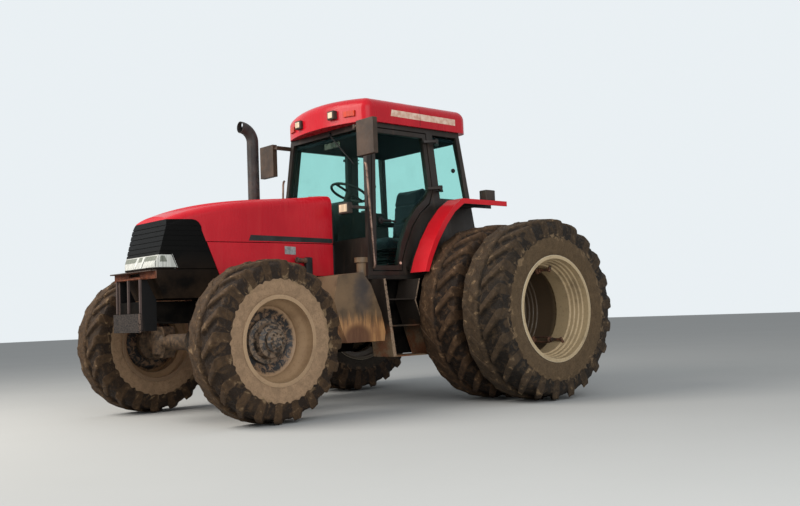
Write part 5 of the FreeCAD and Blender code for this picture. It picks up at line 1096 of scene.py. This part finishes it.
def add_wheel_details(rust, axle, steel):
    """Bolts round the hubs, and the rods that draw the twin rims together."""
    for name, side in SIDES:
        arm = Vector((0.0, side * FRONT_ARM, 0.0))
        turn = Matrix.Rotation(STEER_AT_REST, 4, "Z")
        low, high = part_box("front_hub_" + name)
        outer = Form()
        axis = turn @ Vector((0.0, side, 0.0))
        middle = Vector((FRONT_AXLE_X, side * KINGPIN_Y, FRONT_RADIUS))
        for count, radius, away in ((8, 0.128, 0.295), (10, 0.060, 0.376)):
            for step in range(count):
                angle = 2 * math.pi * (step + 0.5) / count
                spot = Vector((radius * math.cos(angle), side * away, radius * math.sin(angle)))
                outer.bolt(middle + turn @ spot, axis, 0.013 if count == 8 else 0.007,
                           0.014 if count == 8 else 0.007)
        outer.piece("front_wheel_bolts_" + name, axle, "front_%s_wheel" % name, "hub_paint")
        rear = Form()
        for step in range(8):
            angle = 2 * math.pi * (step + 0.5) / 8
            spot = (REAR_AXLE_X + 0.172 * math.cos(angle), side * 1.286, REAR_RADIUS + 0.172 * math.sin(angle))
            rear.bolt(spot, (0.0, side, 0.0), 0.015, 0.016)
        rear.piece("rear_wheel_bolts_" + name, axle, "rear_%s_wheels" % name, "hub_paint")
        ties = Form()
        for angle in (math.radians(221), math.radians(101), math.radians(341)):
            x = REAR_AXLE_X - 0.40 * math.sin(angle) * -1
            z = REAR_RADIUS + 0.40 * math.cos(angle)

            def at(out, lift=0.0):
                return (x, side * out, z + lift)

            ties.rod([at(1.325), at(1.450)], 0.013, 12)
            ties.rod([at(1.660), at(1.800)], 0.013, 12)
            for height in (-0.024, 0.024):
                ties.rod([at(1.452, height), at(1.655, height)], 0.009, 10)
            for out in (1.440, 1.640):
                ties.turned(((0.0, 0.0), (0.030, 0.0), (0.034, 0.006), (0.034, 0.020), (0.030, 0.026), (0.0, 0.026)),
                            at(out), (0.0, side, 0.0), 16)
            for out in (1.415, 1.668):
                ties.turned(((0.0, 0.0), (0.024, 0.0), (0.024, 0.022), (0.0, 0.022)), at(out), (0.0, side, 0.0), 6)
            outward = Vector((x - REAR_AXLE_X, 0.0, z - REAR_RADIUS)).normalized() * 0.038
            for end in (1.325, 1.800):
                foot = Vector(at(end))
                ties.rod([foot - outward * 0.5, foot + outward * 0.4, foot + outward], 0.015, 12)
        ties.piece("twin_ties_" + name, rust, "rear_%s_wheels" % name, "rusty_steel")


def add_shade_guards(black):
    """Near-black folded plates, painted shade, that close the view between the steps and the inner tyres."""
    for name, side in SIDES:
        guard = Form()
        outline = ((0.050, 1.248), (-0.800, 1.248), (-0.800, 0.900), (-0.700, 0.480), (-0.060, 0.480),
                   (0.050, 0.700))
        guard.prism([(x, 0.0, z) for x, z in outline], (0.0, side * 0.574, 0.0), (0.0, side * 0.006, 0.0))
        for x in (-0.60, -0.36, -0.12):
            guard.rod([(x, side * 0.581, 0.560), (x, side * 0.581, 1.220)], 0.007, 8)
        for x, z in ((-0.76, 1.20), (-0.48, 1.20), (-0.24, 1.20), (0.01, 1.20), (-0.66, 0.56), (-0.10, 0.56)):
            guard.bolt((x, side * 0.580, z), (0.0, side, 0.0), 0.008, 0.006)
        # Painted shade: the plates take the near-black frame finish so that the gap under the cab reads as shade.
        guard.piece("shade_guard_" + name, black, "chassis", "chassis_paint")


def add_floor():
    mesh = bpy.data.meshes.new("floor")
    size = 60.0
    mesh.from_pydata([(-size, -size, 0), (size, -size, 0), (size, size, 0), (-size, size, 0)], [],
                     [(0, 1, 2, 3)])
    mesh.materials.append(floor_finish())
    floor = bpy.data.objects.new("floor", mesh)
    bpy.context.scene.collection.objects.link(floor)


def dress_all():
    red = red_paint()
    frame_finish = frame_paint()
    plastic = nose_plastic()
    glass = window_glass()
    lens = lamp_lens()
    rust = rusty_steel()
    chassis = dusty_metal("chassis_paint", (0.005, 0.0045, 0.004), (0.016, 0.012, 0.009),
                          (0.060, 0.038, 0.023))
    axle = dusty_metal("axle_dirt", (0.014, 0.010, 0.007), (0.060, 0.038, 0.023),
                       (0.16, 0.10, 0.058), low=1.4)
    steel = dusty_metal("dark_steel", (0.014, 0.012, 0.011), (0.040, 0.032, 0.027),
                        (0.10, 0.07, 0.05), low=0.9)
    soot = dusty_metal("exhaust_soot", (0.018, 0.016, 0.016), (0.050, 0.042, 0.038),
                       (0.10, 0.062, 0.042), roughness=0.5, low=2.2)
    case = dusty_metal("case_plastic", (0.014, 0.011, 0.010), (0.050, 0.034, 0.024),
                       (0.10, 0.07, 0.05), roughness=0.5, low=1.0)
    tank = tank_plastic()
    for node in ("hood_shell", "side_panels", "cab_roof"):
        dress(node, red)
    dress("fenders", fender_paint())
    for node in ("cab_frame", "door_left", "door_right"):
        dress(node, frame_finish, 0.004)
    for node in ("nose_grille", "nose_lower"):
        dress(node, plastic)
    for node in ("windscreen", "quarter_glass", "door_glass_left", "door_glass_right", "rear_window"):
        dress(node, glass, 0.0)
    dress("headlamps", lens)
    for node in ("roof_lamps", "post_lamps", "fender_lamps"):
        dress(node, case, 0.010, 3)
    mirror_brown = dusty_metal("mirror_brown", (0.030, 0.018, 0.011), (0.075, 0.045, 0.028),
                               (0.11, 0.07, 0.046), roughness=0.42, low=1.0)
    dress("mirrors", mirror_brown, 0.018, 4)
    # Painted shade: near black with almost no gloss, the frame's and radiator's black paint pushed to the black of
    # the shaded void behind the nose; also used on the plates under the cab.
    black_and_painted_shade = plain_finish("frame_black_and_shade", (0.0020, 0.0018, 0.0016), (0.0090, 0.0070, 0.0055), 0.8,
                        Specular_IOR_Level=0.05)
    dress("front_frame", black_and_painted_shade, 0.006)
    dress("radiator", black_and_painted_shade, 0.006)
    for node in ("engine_block", "transmission", "rear_axle_housings", "bulkhead",
                 "lift_housing", "cab_floor", "dashboard"):
        dress(node, chassis, 0.006)
    for node in ("front_axle", "knuckle_left", "knuckle_right"):
        dress(node, axle, 0.006)
    for node in ("drawbar", "lower_links", "lift_arms", "lift_rods", "top_link"):
        dress(node, rust, 0.003)
    dress("front_bracket", bracket_finish(), 0.002)
    dress("steps", step_finish(), 0.003)
    for node in ("steering_rod", "pto_shaft", "steering_wheel"):
        dress(node, steel, 0.002)
    dress("exhaust", soot, 0.003)
    dress("fuel_tanks", tank, 0.045, 5)
    hub_rust = dusty_metal("rear_hub_dirt", (0.020, 0.015, 0.012), (0.075, 0.048, 0.030),
                           (0.15, 0.10, 0.065), low=1.4)
    for name, side in SIDES:
        turned = Matrix.Rotation(STEER_AT_REST, 4, "Z") @ Vector((0.0, side * FRONT_ARM, 0.0))
        centre = Vector((FRONT_AXLE_X, side * KINGPIN_Y, FRONT_RADIUS)) + turned
        # Rim colours: clean paint, darker paint for dirt and the painted shade deeper in, then the painted edge
        # highlight.
        dress("front_rim_" + name, rim_paint(
            "front_rim_paint_" + name, (0.34, 0.215, 0.118), (0.165, 0.092, 0.048),
            (0.60, 0.50, 0.36), centre, 0.29, 0.27, 0.90), 0.004)
        dress("front_hub_" + name, grease(), 0.005)
        rear = (REAR_AXLE_X, side * REAR_INNER_Y, REAR_RADIUS)
        dress("rear_rims_" + name, rim_paint(
            "rear_rim_paint_" + name, (0.46, 0.34, 0.195), (0.060, 0.038, 0.022),
            (0.62, 0.53, 0.38), rear, 0.42, 0.12, 1.58), 0.005)
        dress("rear_hub_" + name, hub_rust, 0.004)
    black = plain_finish("soft_black", (0.006, 0.006, 0.006), (0.016, 0.015, 0.014), 0.55,
                         Specular_IOR_Level=0.25)
    chrome = plain_finish("worn_chrome", (0.085, 0.050, 0.034), (0.25, 0.16, 0.12), 0.3, Metallic=0.6)
    amber = lamp_lens("amber_lens", (0.56, 0.040, 0.012), 0.12)
    cloth = plain_finish("liner_cloth", (0.006, 0.010, 0.013), (0.013, 0.019, 0.024), 0.9, 30.0,
                         Specular_IOR_Level=0.1)
    red_dark = plain_finish("seam_red", (0.16, 0.004, 0.008), (0.25, 0.008, 0.012), 0.6)
    strip_pale = plain_finish("strip_pale", (0.62, 0.34, 0.24), (0.86, 0.66, 0.52), 0.6, 14.0,
                              Specular_IOR_Level=0.2)
    add_hood_details(black, rust)
    add_lamps(case, lens, amber)
    add_cab_details(black, chrome, frame_finish, cloth, red_dark, strip_pale)
    add_seat(black)
    add_wheel_details(rust, axle, steel)
    add_shade_guards(black_and_painted_shade)


add_camera()
add_world()
add_area("key", (7.5, -2.0, 6.5), (0.0, 0.0, 1.2), 6.0, 900.0, (1.0, 0.95, 0.88))
add_area("fill", (3.5, 9.0, 3.5), (0.0, 0.0, 1.2), 7.0, 420.0, (0.95, 0.98, 1.0))
add_floor()
dress_all()
add_tyres()

bpy.context.scene.view_settings.view_transform = "Standard"
